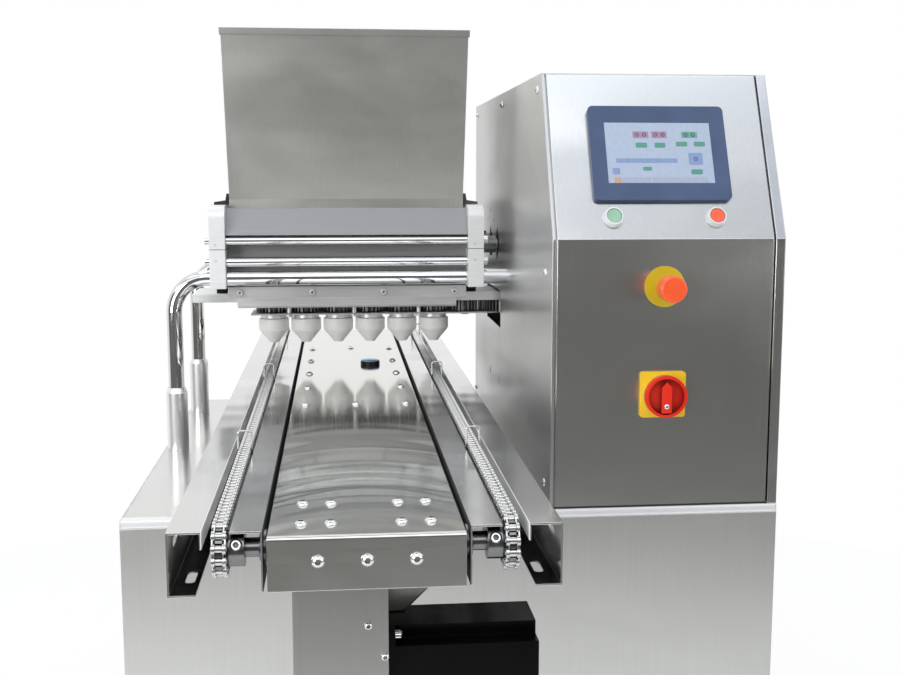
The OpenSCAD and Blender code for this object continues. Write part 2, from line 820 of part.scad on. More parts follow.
// Two tubes from the deck through the side plates into the cabinet
module support_tubes() {
    color("silver") place() fore_and_aft() translate([0, -tube_dy, 0]) difference() {
        union() support_tube(tube_d, 0);
        union() support_tube(tube_d - 2 * tube_wall, 1);
    }
}

// Chamfered sleeves that hold the tubes on the deck
module post_sleeves() {
    chamfer = 9;
    color("lightgray") place() fore_and_aft() translate([-tube_leg_x, -tube_dy, deck_z]) difference() {
        union() {
            cylinder(d = sleeve_d, h = sleeve_h - chamfer);
            translate([0, 0, sleeve_h - chamfer]) cylinder(d1 = sleeve_d, d2 = tube_d + 3, h = chamfer);
        }
        translate([0, 0, -1]) cylinder(d = tube_d + 2 * fit, h = sleeve_h + 2);
    }
}

// Outline of a side plate in Y and Z with its upper corners rounded
module side_outline(low, high, r) {
    difference() {
        translate([-side_d / 2, low]) square([side_d, high - low]);
        for (s = [-1, 1]) translate([s * side_d / 2, high]) difference() {
            square(2 * r, center = true);
            translate([-s * r, -r]) circle(r);
        }
    }
}

// Seats that both halves share: bushes on the parting line and the tie rods
module side_seats() {
    for (s = [-1, 1]) {
        translate([side_x - 1, s * roller_pitch / 2, roller_z]) bar_x(bush_d + 2 * fit, 0, side_t + 2);
        for (z = rod_zs) translate([side_x - 1, s * rod_dy, z]) bar_x(rod_d + 2 * fit, 0, side_t + 2);
        translate([side_x - 1, s * tube_dy, tube_z]) bar_x(tube_d + 2 * fit, 0, side_t + 2);
    }
}

module side_plates_lower() {
    color("whitesmoke") head_place() both_sides() translate([0, head_y, 0]) difference() {
        along_x(side_x, side_out) translate([-side_d / 2, side_z]) square([side_d, side_lower_h]);
        side_seats();
    }
}

module side_plates_upper() {
    color("whitesmoke") head_place() both_sides() translate([0, head_y, 0]) difference() {
        along_x(side_x, side_out) side_outline(roller_z, side_top, side_r);
        side_seats();
    }
}

// Tie rods through the side plates, with a thinner end standing out on each side
module tie_rods() {
    cap_l = 9;
    color("silver") head_place() fore_and_aft() for (z = rod_zs) translate([0, -rod_dy, z]) union() {
        bar_x(rod_d, -side_out, side_out);
        bar_x(rod_d - 3, -side_out - cap_l, side_out + cap_l);
    }
}

// Tapered hopper on an upright foot band, or its inside when moved in by the sheet
module hopper_solid(inset) {
    foot = [hopper_foot_w - 2 * inset, hopper_foot_d - 2 * inset];
    translate([0, 0, hopper_z]) linear_extrude(foot_band + 0.01) square(foot, center = true);
    hull() {
        translate([0, 0, hopper_z + foot_band]) linear_extrude(0.01) square(foot, center = true);
        translate([0, 0, hopper_z + hopper_h - 0.01]) linear_extrude(0.01)
            square([hopper_top_w - 2 * inset, hopper_top_d - 2 * inset], center = true);
    }
}

module hopper() {
    mouth = hopper_z + hopper_h;
    rim_out = 2;
    color("silver") head_place() translate([0, head_y, 0]) difference() {
        union() {
            hopper_solid(0);
            translate([0, 0, mouth - rim_h]) linear_extrude(rim_h)
                square([hopper_top_w + 2 * rim_out, hopper_top_d + 2 * rim_out], center = true);
        }
        hopper_solid(hopper_t);
        for (z = [hopper_z - 1, mouth - 0.01]) translate([0, 0, z]) linear_extrude(1.01)
            square([(z < mouth - 1 ? hopper_foot_w : hopper_top_w) - 2 * hopper_t,
                (z < mouth - 1 ? hopper_foot_d : hopper_top_d) - 2 * hopper_t], center = true);
    }
}

// Corner clips on the side plates that hold the hopper's foot
module hopper_clips() {
    clip_h = 20;
    flare = max(0, hopper_top_w - hopper_foot_w) / 2;
    reach = clip_h + side_top - hopper_z;
    x0 = hopper_foot_w / 2 + flare * reach / hopper_h + 0.4;
    color("gray") head_place() both_sides() fore_and_aft()
        translate([0, -hopper_foot_d / 2 + 16, side_top]) along_y(-9, 9) polygon([[x0, 0],
            [side_out - 6, 0], [side_out - 6, 5], [x0 + 7, 8], [x0 + 5, clip_h], [x0, clip_h]]);
}

// Front and rear walls round the feed rollers: sloped nose, upright face, roller bore, throat
module housing_wall() {
    nose = 3;
    throat = hopper_foot_d / 2 - hopper_t;
    along_x(-side_x, side_x) difference() {
        polygon([[-hopper_foot_d / 2, hopper_z], [-rod_dy - rod_d / 2 - 2, rod_zs[0] + rod_d / 2 + 1.5],
            [-rod_dy - rod_d / 2 - 2 + nose, rod_zs[0] + rod_d / 2 + 1],
            [-wall_front, rod_zs[0] + rod_d / 2 + 6], [-wall_front, flange_top],
            [-slot_w / 2, flange_top], [-slot_w / 2, roller_z], [-slot_w / 2, hopper_z]]);
        translate([-roller_pitch / 2, roller_z]) circle(roller_d / 2 + roller_gap);
        polygon([[-throat, hopper_z + 1], [-throat, hopper_z - 4],
            [-(roller_pitch + roller_d) / 2, roller_z + 24], [-roller_pitch / 2, roller_z],
            [0, roller_z], [0, hopper_z + 1]]);
    }
}

module housing_walls() {
    color("gainsboro") head_place() fore_and_aft() housing_wall();
}

// Bushes for the roller shafts, clamped between the side plates' halves
module roller_bushes() {
    color("goldenrod") head_place() both_sides() fore_and_aft()
        translate([0, -roller_pitch / 2, roller_z]) difference() {
            bar_x(bush_d, side_x, side_out);
            bar_x(roller_shaft_d + 2 * run, side_x - 1, side_out + 1);
        }
}

// Fluted feed roller on its shaft, which runs on into the cabinet
module feed_roller(y) {
    half = side_x - 1;
    color("lightgray") place() translate([0, y, roller_z]) union() {
        along_x(head_shift - half, head_shift + half) difference() {
            circle(d = roller_d);
            for (i = [0:roller_flutes - 1]) rotate(360 * i / roller_flutes)
                translate([roller_d / 2 + flute_r * 0.3, 0]) circle(flute_r);
        }
        bar_x(roller_shaft_d, head_shift - side_out - 4, roller_gear_x + roller_gear_w + 6);
    }
}

module feed_roller_front() { feed_roller(head_y - roller_pitch / 2); }

module feed_roller_rear() { feed_roller(head_y + roller_pitch / 2); }

// Timing gear inside the cabinet and the pinned coupling sleeve outside it
module roller_gear(y, phase) {
    sleeve = [head_shift + side_out + 6, cab_left - 4];
    color("dimgray") place() translate([0, y, roller_z]) difference() {
        union() {
            along_x(roller_gear_x, roller_gear_x + roller_gear_w) rotate(phase)
                gear_outline(roller_pitch / roller_gear_z, roller_gear_z, gear_play);
            bar_x(roller_shaft_d + 9, sleeve[0], sleeve[1]);
            for (x = [sleeve[0] + 8, sleeve[1] - 8]) translate([x, 0, -roller_shaft_d / 2 - 9])
                cylinder(d = 5, h = roller_shaft_d + 18);
        }
        bar_x(roller_shaft_d + 2 * fit, sleeve[0] - 1, roller_gear_x + roller_gear_w + 1);
    }
}

module roller_gear_front() { roller_gear(head_y - roller_pitch / 2, 0); }

module roller_gear_rear() { roller_gear(head_y + roller_pitch / 2, 180 / roller_gear_z); }

// Flange under the housing with the long dough slot and its cap screws
module discharge_flange() {
    reach = wall_front + 8;
    screw_pitch = head_w * 0.3;
    color("gray") head_place() translate([0, head_y, 0]) union() {
        difference() {
            block([-side_x, -reach, beam_top], [side_x, reach, flange_top]);
            block([-side_x + 20, -slot_w / 2, beam_top - 1], [side_x - 20, slot_w / 2, flange_top + 1]);
        }
        for (i = [-1.5:1.5], s = [-1, 1])
            translate([i * screw_pitch, s * reach, beam_top + flange_h / 2])
                rotate([-s * 90, 0, 0]) difference() {
                    cylinder(d = 10, h = 6);
                    translate([0, 0, 3]) cylinder(d = 5, h = 4, $fn = 6);
                }
    }
}

// Beam that carries the nozzle spindles, running on into the cabinet
module carrier_beam() {
    color("silver") place() translate([0, head_y, 0]) difference() {
        block([-beam_left, -beam_d / 2, beam_z], [beam_right, beam_d / 2, beam_top]);
        for (i = [1:NOZZLES]) translate([nozzle_x(i), 0, beam_z - 1]) {
            cylinder(d = spindle_d + 2 * run, h = beam_h * 0.7 + 1);
            cylinder(d = nozzle_bore, h = beam_h + 2);
        }
        for (x = [idler_x, drive_x]) translate([x, 0, beam_z - 1])
            cylinder(d = axle_d + 2 * run, h = beam_h + 2);
    }
}

// Pads between the side plates and the beam
module beam_pads() {
    edge = 3;
    inset = 8;
    color("black") head_place() both_sides()
        block([side_x + edge, head_y - beam_d / 2 + inset, beam_top],
            [side_out + edge, head_y + beam_d / 2 - inset, side_z]);
}

// Bars in front of and behind the beam that cover the upper part of the gears
module gear_guard() {
    half = side_x - 9;
    low = gear_z + 14;
    back = -beam_d / 2;
    front = back - 14;
    chamfer = 4;
    color("lightgray") head_place() fore_and_aft() along_x(-half, half) polygon([[back, low],
        [back, beam_top], [front, beam_top], [front, low + chamfer], [front + chamfer, low]]);
}

// Thin plate under the gears, held to the beam by spacer pins
module gear_plate() {
    half = gear_tip_r + 4;
    pin_d = 10;
    pin_y = nozzle_pitch / 2 + 2;
    overhang = 10;
    color("gray") place() translate([0, head_y, 0]) union() {
        difference() {
            block([nozzle_x(0.5) - overhang, -half - 2, plate_z],
                [beam_right - 6, half + 2, plate_top]);
            for (i = [1:NOZZLES]) translate([nozzle_x(i), 0, plate_z - 1])
                cylinder(d = spindle_d + 2 * run, h = gear_plate_t + 2);
            for (x = [idler_x, drive_x]) translate([x, 0, plate_z - 1])
                cylinder(d = axle_d + 2 * run, h = gear_plate_t + 2);
        }
        for (i = [1.5, 3.5, 5.5], s = [-1, 1]) translate([nozzle_x(i), s * pin_y, plate_z - 4]) {
            cylinder(d = pin_d, h = beam_z - plate_z + 4);
            cylinder(d = pin_d + 4, h = 4);
        }
    }
}

// A rotating nozzle: geared hollow spindle with its collar, and the tapered cup below
module nozzle(i) {
    phase = gear_teeth % 2 == 0 && i % 2 == 0 ? 180 / gear_teeth : 0;
    tip_z = cup_top - cup_h - cone_h;
    place() translate([nozzle_x(i), head_y, 0]) {
        color("slategray") difference() {
            union() {
                translate([0, 0, gear_z]) linear_extrude(gear_h) rotate(phase)
                    gear_outline(gear_module, gear_teeth, gear_play);
                translate([0, 0, cup_top]) cylinder(d = collar_d, h = collar_h);
                translate([0, 0, cup_top]) cylinder(d = spindle_d, h = beam_z + beam_h * 0.7 - 1 - cup_top);
            }
            translate([0, 0, cup_top - 1]) cylinder(d = nozzle_bore, h = 100);
        }
        color("white") rotate_extrude() polygon([[nozzle_bore / 2, cup_top], [cup_d / 2 - 1.5, cup_top],
            [cup_d / 2, cup_top - 1.5], [cup_d / 2, cup_top - cup_h], [tip_d / 2 + 1, tip_z + 3],
            [tip_d / 2, tip_z], [outlet_d / 2, tip_z], [outlet_d / 2, tip_z + 6],
            [nozzle_bore / 2, cup_top - cup_h + 4]]);
    }
}

// Toothed wheel on an axle between the beam and the gear plate
module train_gear(x, teeth, phase) {
    color("slategray") place() translate([x, head_y, 0]) union() {
        translate([0, 0, gear_z]) linear_extrude(gear_h) rotate(phase)
            gear_outline(gear_module, teeth, gear_play);
        translate([0, 0, plate_z - 1]) cylinder(d = axle_d, h = beam_top - plate_z);
        translate([0, 0, plate_z - 5]) cylinder(d = axle_d + 4, h = 4);
    }
}

module idler_gear() { train_gear(idler_x, gear_teeth, 0); }

module drive_gear() { train_gear(drive_x, drive_teeth, 180 + 180 / drive_teeth); }

// A round-ended slot along Y, cut along Z
module rail_slot() {
    slot_l = 26;
    linear_extrude(4 * sheet, center = true) union() {
        square([slot_d, slot_l], center = true);
        for (s = [-1, 1]) translate([0, s * slot_l / 2]) circle(d = slot_d);
    }
}

// Outer rail: folded channel with a lip, a slot near each end of its web and lower flange
module outer_rail() {
    x0 = rail_x - rail_w;
    difference() {
        along_y(0, conveyor_l) difference() {
            translate([x0, rail_bottom]) square([rail_w, rail_h]);
            translate([x0 + sheet, rail_bottom + sheet]) square([rail_w - 2 * sheet, rail_h - 2 * sheet]);
            translate([x0 - 1, rail_bottom - 1]) square([rail_short + 1, rail_h - rail_lip + 1]);
        }
        for (y = [slot_y, conveyor_l - slot_y]) {
            translate([rail_x, y, rail_rise - rail_h / 3]) rotate([0, 90, 0]) rail_slot();
            translate([rail_x - rail_w / 2, y, rail_bottom]) rail_slot();
        }
    }
}

module outer_rails() {
    color("silver") place() both_sides() outer_rail();
}

// Inner rails: angle with its flange towards the chain, bored for the shaft bearings
module inner_rails() {
    color("silver") place() both_sides() difference() {
        along_y(rail_start, conveyor_l - rail_start) union() {
            translate([inner_rail_x, inner_rail_rise - inner_rail_h]) square([sheet, inner_rail_h]);
            translate([inner_rail_x, inner_rail_rise - sheet]) square([inner_rail_w, sheet]);
        }
        for (y = [shaft_inset, conveyor_l - shaft_inset]) translate([inner_rail_x - 1, y, shaft_z])
            bar_x(shaft_d + 8 + 2 * fit, 0, sheet + 2);
    }
}

// Centre table plate folded down along both sides
module table_plate() {
    color("silver") place() difference() {
        along_y(end_cover_r, conveyor_l - end_cover_r) difference() {
            translate([-table_w / 2, -table_skirt]) square([table_w, table_skirt]);
            translate([-table_w / 2 + sheet, -table_skirt - 1])
                square([table_w - 2 * sheet, table_skirt + 1 - sheet]);
        }
        for (y = [shaft_inset, conveyor_l - shaft_inset]) translate([0, y, shaft_z])
            bar_x(shaft_d + 6, -table_w, table_w);
        translate([sensor_x, head_y - sensor_ahead, -sheet - 1])
            cylinder(d = sensor_barrel_d + 2 * fit, h = sheet + 2);
    }
}

// Round tray sensor on the table plate, its barrel hanging below
module tray_sensor() {
    color("black") place() translate([sensor_x, head_y - sensor_ahead, 0]) union() {
        cylinder(d = sensor_d, h = sensor_h - 2);
        cylinder(d = sensor_d - 5, h = sensor_h);
        translate([0, 0, -32]) cylinder(d = sensor_barrel_d, h = 33);
    }
}

// Rounded end cover over the front end of the table plate
module end_cover() {
    along_x(-table_w / 2, table_w / 2) difference() {
        union() {
            translate([0, -end_cover_h]) square([sheet, end_cover_h - end_cover_r]);
            translate([end_cover_r, -end_cover_r]) circle(end_cover_r);
        }
        translate([end_cover_r, -end_cover_r]) circle(end_cover_r - sheet);
        translate([sheet, -end_cover_h - 1]) square([3 * end_cover_r, end_cover_h + 1 - end_cover_r]);
        translate([end_cover_r, -3 * end_cover_r]) square(3 * end_cover_r);
    }
}

module end_covers() {
    color("silver") place() {
        end_cover();
        translate([0, conveyor_l, 0]) mirror([0, 1, 0]) end_cover();
    }
}

// Bars across the base deck that carry the four rails on blocks
module cross_member(y) {
    web = inner_rail_x + sheet;
    post = 30;
    y0 = y - cross_w / 2;
    y1 = y + cross_w / 2;
    union() {
        block([-rail_x, y0, cross_top - cross_h], [rail_x, y1, cross_top]);
        for (s = [0, 1]) mirror([s, 0, 0]) {
            block([rail_x - rail_w + rail_short, y0, cross_top - 1], [rail_x, y1, rail_bottom]);
            block([table_w / 2 + sheet, y0, cross_top - 1], [web + 6, y1, inner_rail_rise - inner_rail_h]);
            block([inner_rail_x - post, y0, deck_z], [inner_rail_x, y1, cross_top - 1]);
            block([table_w / 2 - sheet - post, y0, cross_top - 1], [table_w / 2 - sheet, y1, -sheet]);
        }
    }
}

module cross_members() {
    color("gray") place() for (y = [base_set + 60, head_y - 60, base_back - 60]) cross_member(y);
}

// Guide strips under the upper strand of each chain, screwed to the inner rails
module chain_guides() {
    strip = sprocket_t;
    top = chain_rise - chain_roller_d / 2 - 0.2;
    low = top - 16;
    margin = shaft_inset + sprocket_r + 20;
    color("white") place() both_sides() along_y(margin, conveyor_l - margin) union() {
        translate([chain_x - strip / 2, low]) square([strip, top - low]);
        translate([inner_rail_x + sheet, low]) square([chain_x - inner_rail_x - sheet, 5]);
    }
}

// Sprocket with round tooth gaps
module sprocket_outline() {
    tip_r = sprocket_r + 0.19 * chain_pitch;
    seat_r = chain_roller_d / 2 + chain_play;
    difference() {
        circle(tip_r);
        for (k = [0:sprocket_teeth - 1]) rotate((k + 0.5) * 360 / sprocket_teeth) union() {
            translate([sprocket_r, 0]) circle(seat_r);
            polygon([[sprocket_r, -seat_r], [sprocket_r, seat_r],
                [tip_r + 1, seat_r + 2], [tip_r + 1, -seat_r - 2]]);
        }
    }
}

// Socket-head screw that holds a hub on its shaft, pointing out of the hub from its axis
module hub_screw(head_d, stem_d, seat) {
    difference() {
        union() {
            translate([0, 0, shaft_d / 2 + 2 * fit]) cylinder(d = stem_d, h = seat - shaft_d / 2);
            translate([0, 0, seat]) cylinder(d = head_d, h = hub_d / 2 - seat);
        }
        translate([0, 0, hub_d / 2 - 3]) cylinder(d = head_d / 2, h = 4, $fn = 6);
    }
}

// Conveyor shaft with both sprockets, whose hubs are necked where the chain's plates pass, and the
// counterbored screws in the hubs
module shaft_set(y) {
    hub_x = chain_x - sprocket_t / 2 - hub_l;
    neck_x = chain_x - chain_half_w - 0.5;
    neck_d = min(hub_d, 2 * (sprocket_r - link_h / 2 - 0.4));
    screw_x = (hub_x + neck_x) / 2;
    head_d = 0.29 * hub_d;
    stem_d = head_d / 2;
    seat = (hub_d + shaft_d) / 4;
    color("silver") place() translate([0, y, shaft_z]) {
        bar_x(shaft_d, -chain_x - sprocket_t / 2 - 3, chain_x + sprocket_t / 2 + 3);
        both_sides() {
            difference() {
                union() {
                    along_x(chain_x - sprocket_t / 2, chain_x + sprocket_t / 2) sprocket_outline();
                    bar_x(hub_d, hub_x, neck_x);
                    bar_x(neck_d, neck_x - 1, chain_x);
                }
                bar_x(shaft_d + 2 * fit, hub_x - 1, chain_x + sprocket_t);
                translate([screw_x, 0, 0]) rotate([65, 0, 0]) {
                    cylinder(d = stem_d + 2 * fit, h = hub_d);
                    translate([0, 0, seat]) cylinder(d = head_d + 2, h = hub_d);
                }
            }
            translate([screw_x, 0, 0]) rotate([65, 0, 0]) hub_screw(head_d, stem_d, seat);
        }
    }
}

module front_shaft() { shaft_set(shaft_inset); }

module rear_shaft() { shaft_set(conveyor_l - shaft_inset); }

// Flanged bushes in the inner rails, their flanges next to the table plate
module shaft_bearings() {
    flange_x = inner_rail_x - table_gap * 0.75;
    bush_end = inner_rail_x + sheet + 2;
    color("dimgray") place() both_sides() for (y = [shaft_inset, conveyor_l - shaft_inset])
        translate([0, y, shaft_z]) difference() {
            union() {
                bar_x(shaft_d + 8, inner_rail_x - 1, bush_end);
                bar_x(shaft_d + 16, flange_x, inner_rail_x);
            }
            bar_x(shaft_d + 2 * run, flange_x - 1, bush_end + 1);
        }
}

// Place of chain roller number i round the loop, as [y, z] from the front shaft
function wrap_point(centre, a) = [centre + sprocket_r * cos(a), sprocket_r * sin(a)];
function roller_at(i) =
    let (n = sprocket_teeth / 2, step = 360 / sprocket_teeth, k = i % chain_links)
    k < n ? wrap_point(0, 90 + (k + 0.5) * step)
    : k < n + strand_links ? [(k - n + 0.5) * chain_pitch, -strand_r]
    : k < 2 * n + strand_links ? wrap_point(shaft_span, -90 + (k - n - strand_links + 0.5) * step)
    : [shaft_span - (k - 2 * n - strand_links + 0.5) * chain_pitch, strand_r];

// One link plate, from roller to roller along X
module link_plate(z) {
    translate([0, 0, z]) linear_extrude(link_t) union() {
        circle(d = link_h);
        translate([chain_pitch, 0]) circle(d = link_h);
        translate([0, -link_waist / 2]) square([chain_pitch, link_waist]);
    }
}

// Inner link: two plates and two bored rollers
module inner_link() {
    difference() {
        union() {
            link_plate(link_gap / 2);
            link_plate(-inner_plate_x);
            for (x = [0, chain_pitch]) translate([x, 0, -inner_plate_x])
                cylinder(d = chain_roller_d, h = 2 * inner_plate_x);
        }
        for (x = [0, chain_pitch]) translate([x, 0, -inner_plate_x - 1])
            cylinder(d = chain_pin_d + 2 * chain_play, h = 2 * inner_plate_x + 2);
    }
}

// Outer link: two plates on two pins
module outer_link() {
    union() {
        link_plate(outer_plate_x - link_t);
        link_plate(-outer_plate_x);
        for (x = [0, chain_pitch]) translate([x, 0, -chain_half_w])
            cylinder(d = chain_pin_d, h = 2 * chain_half_w);
    }
}

// Puts a link between roller i and the next one
module at_link(i) {
    here = roller_at(i);
    next = roller_at(i + 1);
    translate([0, here[0], here[1]]) rotate([atan2(next[1] - here[1], next[0] - here[0]), 0, 0])
        rotate([90, 0, 90]) children();
}

module chain(side) {
    color("darkgray") place() translate([side * chain_x, shaft_inset, shaft_z])
        for (i = [0:chain_links - 1]) at_link(i) {
            if (i % 2 == 0) inner_link($fn = 16);
            else outer_link($fn = 16);
        }
}

module chain_left() { chain(-1); }

module chain_right() { chain(1); }

// Wire bails standing on the outer links, which push the trays along
module pusher() {
    leg_x = outer_plate_x + pusher_wire_d / 2;
    bend = 4;
    top = pusher_h - pusher_wire_d / 2;
    tab = chain_pitch * 0.4;
    for (s = [-1, 1]) {
        translate([chain_pitch / 2, 0, s * leg_x]) cube([tab, link_waist, pusher_wire_d], center = true);
        translate([chain_pitch / 2, 0, s * leg_x]) rotate([90, 0, 0]) translate([0, 0, -top + bend])
            cylinder(d = pusher_wire_d, h = top - bend + link_waist / 2);
        translate([chain_pitch / 2, top - bend, s * (leg_x - bend)]) rotate([0, s * 90 + 180, 0])
            rotate_extrude(angle = 90) translate([bend, 0]) circle(d = pusher_wire_d);
    }
    translate([chain_pitch / 2, top, -leg_x + bend]) cylinder(d = pusher_wire_d, h = 2 * (leg_x - bend));
}

module chain_pushers() {
    count = floor(chain_links / pusher_every);
    color("silver") place() for (s = [-1, 1], k = [0:count - 1])
        translate([s * chain_x, shaft_inset, shaft_z]) at_link(pusher_first + k * pusher_every)
            mirror([0, 1, 0]) union() pusher($fn = 16);
}

// Gusset between the table plate and the motor, with its outer corner cut at 45 degrees
module motor_gusset() {
    low = motor_z + motor_s / 2 + 0.5;
    foot_x = housing_x + 22;
    top_x = housing_x + 64;
    gusset_y = motor_y + 10;
    along_y(gusset_y, gusset_y + 1.5 * sheet) polygon([[housing_x - 1, low], [foot_x, low],
        [top_x, low + top_x - foot_x], [top_x, -sheet], [housing_x - 1, -sheet]]);
}

// Closed sheet housing of the conveyor drive, hung under the front of the table
module drive_housing() {
    lug = 12;
    lug_inset = 20;
    color("silver") place() union() {
        difference() {
            block([housing_x - housing_w, housing_y, -housing_drop],
                [housing_x, housing_y + housing_d, -end_cover_h]);
            block([housing_x - housing_w + sheet, housing_y + sheet, -housing_drop + sheet],
                [housing_x - sheet, housing_y + housing_d - sheet, -end_cover_h - sheet]);
            translate([housing_x - 3 * sheet, motor_y, motor_z]) bar_x(spigot_d + 2 * fit, 0, 6 * sheet);
        }
        for (x = [housing_x - housing_w, housing_x - lug]) block([x, housing_y + lug_inset, -end_cover_h - 1],
            [x + lug, housing_y + housing_d - lug_inset, -sheet]);
        motor_gusset();
    }
}

// Conveyor motor: square body with notched corners, end flange, spigot and shaft
module drive_motor() {
    flange = 8;
    half = motor_s / 2;
    notch = [motor_notch, 15];
    bolt_d = 11;
    bolt_in = 6.5;
    color("black") place() translate([housing_x, motor_y, motor_z]) union() {
        along_x(0, flange) square(motor_s, center = true);
        along_x(flange - 1, motor_l) difference() {
            square(motor_s, center = true);
            for (y = [-1, 1], z = [-1, 1]) translate([y * half, z * half]) square(2 * notch, center = true);
        }
        bar_x(spigot_d, -2 * sheet, 1);
        bar_x(spigot_d / 2, -30, 1);
        for (y = [-1, 1], z = [-1, 1])
            translate([flange - 1, y * (half - motor_notch / 2), z * (half - bolt_in)]) bar_x(bolt_d, 0, 8);
    }
}

base_frame();
base_deck();
base_front_panel();
base_panels();
tray_sensor();
levelling_feet();
cabinet_left_wall();
cabinet_front_panel();
cabinet_right_cover();
cabinet_rear_panel();
cable_gland();
hmi_bezel();
hmi_screen();
button_bezels();
start_button();
stop_button();
estop_ring();
estop_button();
switch_plate();
switch_handle();
support_tubes();
post_sleeves();
side_plates_lower();
side_plates_upper();
tie_rods();
hopper();
hopper_clips();
housing_walls();
roller_bushes();
feed_roller_front();
feed_roller_rear();
roller_gear_front();
roller_gear_rear();
discharge_flange();
carrier_beam();
beam_pads();
gear_guard();
gear_plate();
nozzle(1);  // nozzle_1
nozzle(2);  // nozzle_2
nozzle(3);  // nozzle_3
nozzle(4);  // nozzle_4
nozzle(5);  // nozzle_5
nozzle(6);  // nozzle_6
idler_gear();
drive_gear();
outer_rails();
inner_rails();
table_plate();
end_covers();
cross_members();
chain_guides();
front_shaft();
rear_shaft();
shaft_bearings();
chain_left();
chain_right();
chain_pushers();
drive_housing();
drive_motor();
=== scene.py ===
# %% [markdown]
# # Cookie depositor
# A tray conveyor runs under a dough hopper with a row of turning nozzles. The controls stand
# in a steel cabinet on the right. The solids come packed as a frame of named nodes. They could be
# modelled again here, but two models drift apart, so this lesson keeps the solids where they are
# and adds finishes, small fasteners, screen graphics and light.

# %% Load the frame
import json
import math

import bmesh
import bpy
import numpy as np
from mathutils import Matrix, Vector


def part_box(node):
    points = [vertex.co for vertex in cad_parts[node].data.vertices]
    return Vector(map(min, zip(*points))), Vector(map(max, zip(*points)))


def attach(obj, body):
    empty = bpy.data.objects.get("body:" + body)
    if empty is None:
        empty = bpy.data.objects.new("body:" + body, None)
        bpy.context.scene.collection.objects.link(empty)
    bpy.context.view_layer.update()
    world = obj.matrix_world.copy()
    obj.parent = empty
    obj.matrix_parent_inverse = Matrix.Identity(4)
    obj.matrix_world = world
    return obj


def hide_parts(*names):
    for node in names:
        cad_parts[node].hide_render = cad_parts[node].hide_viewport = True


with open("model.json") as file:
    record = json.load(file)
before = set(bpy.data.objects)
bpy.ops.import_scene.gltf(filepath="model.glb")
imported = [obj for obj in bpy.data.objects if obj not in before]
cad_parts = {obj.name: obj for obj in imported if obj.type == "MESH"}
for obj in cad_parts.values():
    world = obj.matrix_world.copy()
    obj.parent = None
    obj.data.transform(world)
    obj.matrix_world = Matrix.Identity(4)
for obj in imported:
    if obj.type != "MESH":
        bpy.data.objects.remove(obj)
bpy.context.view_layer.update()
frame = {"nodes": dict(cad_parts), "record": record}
nodes = frame["nodes"]
table_low, table_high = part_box("table_plate")
table_z = table_high.z
centre_x = (table_low.x + table_high.x) / 2
front_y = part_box("end_covers")[0].y

# %% [markdown]
# ## Camera
# The photograph was taken from in front of the conveyor, a little to its left and above the
# table. A pinhole camera fits it: place, heading, tilt and focal length were worked out from
# the straight edges of the table and the cabinet. Turning the view by eye is quicker, but then
# the long rails meet at the wrong point, and a shifted lens would only hide that.

# %% Camera
PHOTO_WIDTH, FOCAL_PIXELS, SENSOR = 900, 1170.8, 36.0
CAMERA_PLACE = (-0.1703, -1.9713, 1.2543)
TILT_DOWN, HEADING_RIGHT = 7.64, 5.53
camera = bpy.data.objects.new("camera", bpy.data.cameras.new("camera"))
camera.data.sensor_width = SENSOR
camera.data.lens = FOCAL_PIXELS / PHOTO_WIDTH * SENSOR
camera.location = CAMERA_PLACE
camera.rotation_euler = (math.radians(90 - TILT_DOWN), 0.0, math.radians(-HEADING_RIGHT))
bpy.context.scene.collection.objects.link(camera)
bpy.context.scene.camera = camera
bpy.context.scene.view_settings.view_transform = "Standard"
print("lens:", round(camera.data.lens, 2), "mm")

# %% [markdown]
# ## Room
# Bare steel looks like whatever stands round it, and an all-white room would make it flat. A
# picture of a studio could surround the scene, but a profile of brightness by height needs no file
# and each level can be set to what one face mirrors: dim at eye level behind the camera, lighter
# towards the floor and bright overhead. The upright cabinet front mirrors the dim part and the
# slanted panel the bright ceiling. Behind the machine stands white paper, which camera rays see
# all round and which metal and glass mirror where it stands.


# %% Node helpers
def add_node(tree, kind, **values):
    """A new shader node with some of its attributes set."""
    made = tree.nodes.new(kind)
    for key, value in values.items():
        setattr(made, key, value)
    return made


def ramp(tree, value, low, high, start, end, curve="SMOOTHSTEP"):
    """A value between low and high mapped onto start to end, smoothly or in a straight line."""
    made = add_node(tree, "ShaderNodeMapRange", interpolation_type=curve)
    for key, number in (("From Min", low), ("From Max", high), ("To Min", start), ("To Max", end)):
        made.inputs[key].default_value = number
    tree.links.new(value, made.inputs["Value"])
    return made.outputs["Result"]


def math_of(tree, kind, first, second):
    """The result of a Math node on two values, each a socket or a number."""
    made = add_node(tree, "ShaderNodeMath", operation=kind)
    for socket, value in zip(made.inputs, (first, second)):
        if isinstance(value, (int, float)):
            socket.default_value = value
        else:
            tree.links.new(value, socket)
    return made.outputs[0]


print("helpers:", [helper.__name__ for helper in (add_node, ramp, math_of)])

# %% World: the room by height
COOL_ABOVE, CEILING_COOL, WALL_COOL = 0.5, 0.06, -0.008
ROOM_LEVELS = [(-1.0, 0.19), (-0.36, 0.146), (-0.14, 0.082), (0.20, 0.090), (0.35, 0.138),
               (0.43, 0.95), (0.53, 0.95), (0.61, 0.38), (0.74, 0.46), (0.79, 0.92), (0.83, 1.0),
               (0.88, 0.94), (0.93, 0.20), (1.0, 0.16)]
world = bpy.data.worlds.new("studio")
bpy.context.scene.world = world
world.use_nodes = True
sky = world.node_tree
sky.nodes.clear()
direction = add_node(sky, "ShaderNodeTexCoord")
split = add_node(sky, "ShaderNodeSeparateXYZ")
sky.links.new(direction.outputs["Generated"], split.inputs[0])
profile = add_node(sky, "ShaderNodeValToRGB")
stops = profile.color_ramp.elements
for height, _ in ROOM_LEVELS[1:-1]:
    stops.new((height + 1) / 2)
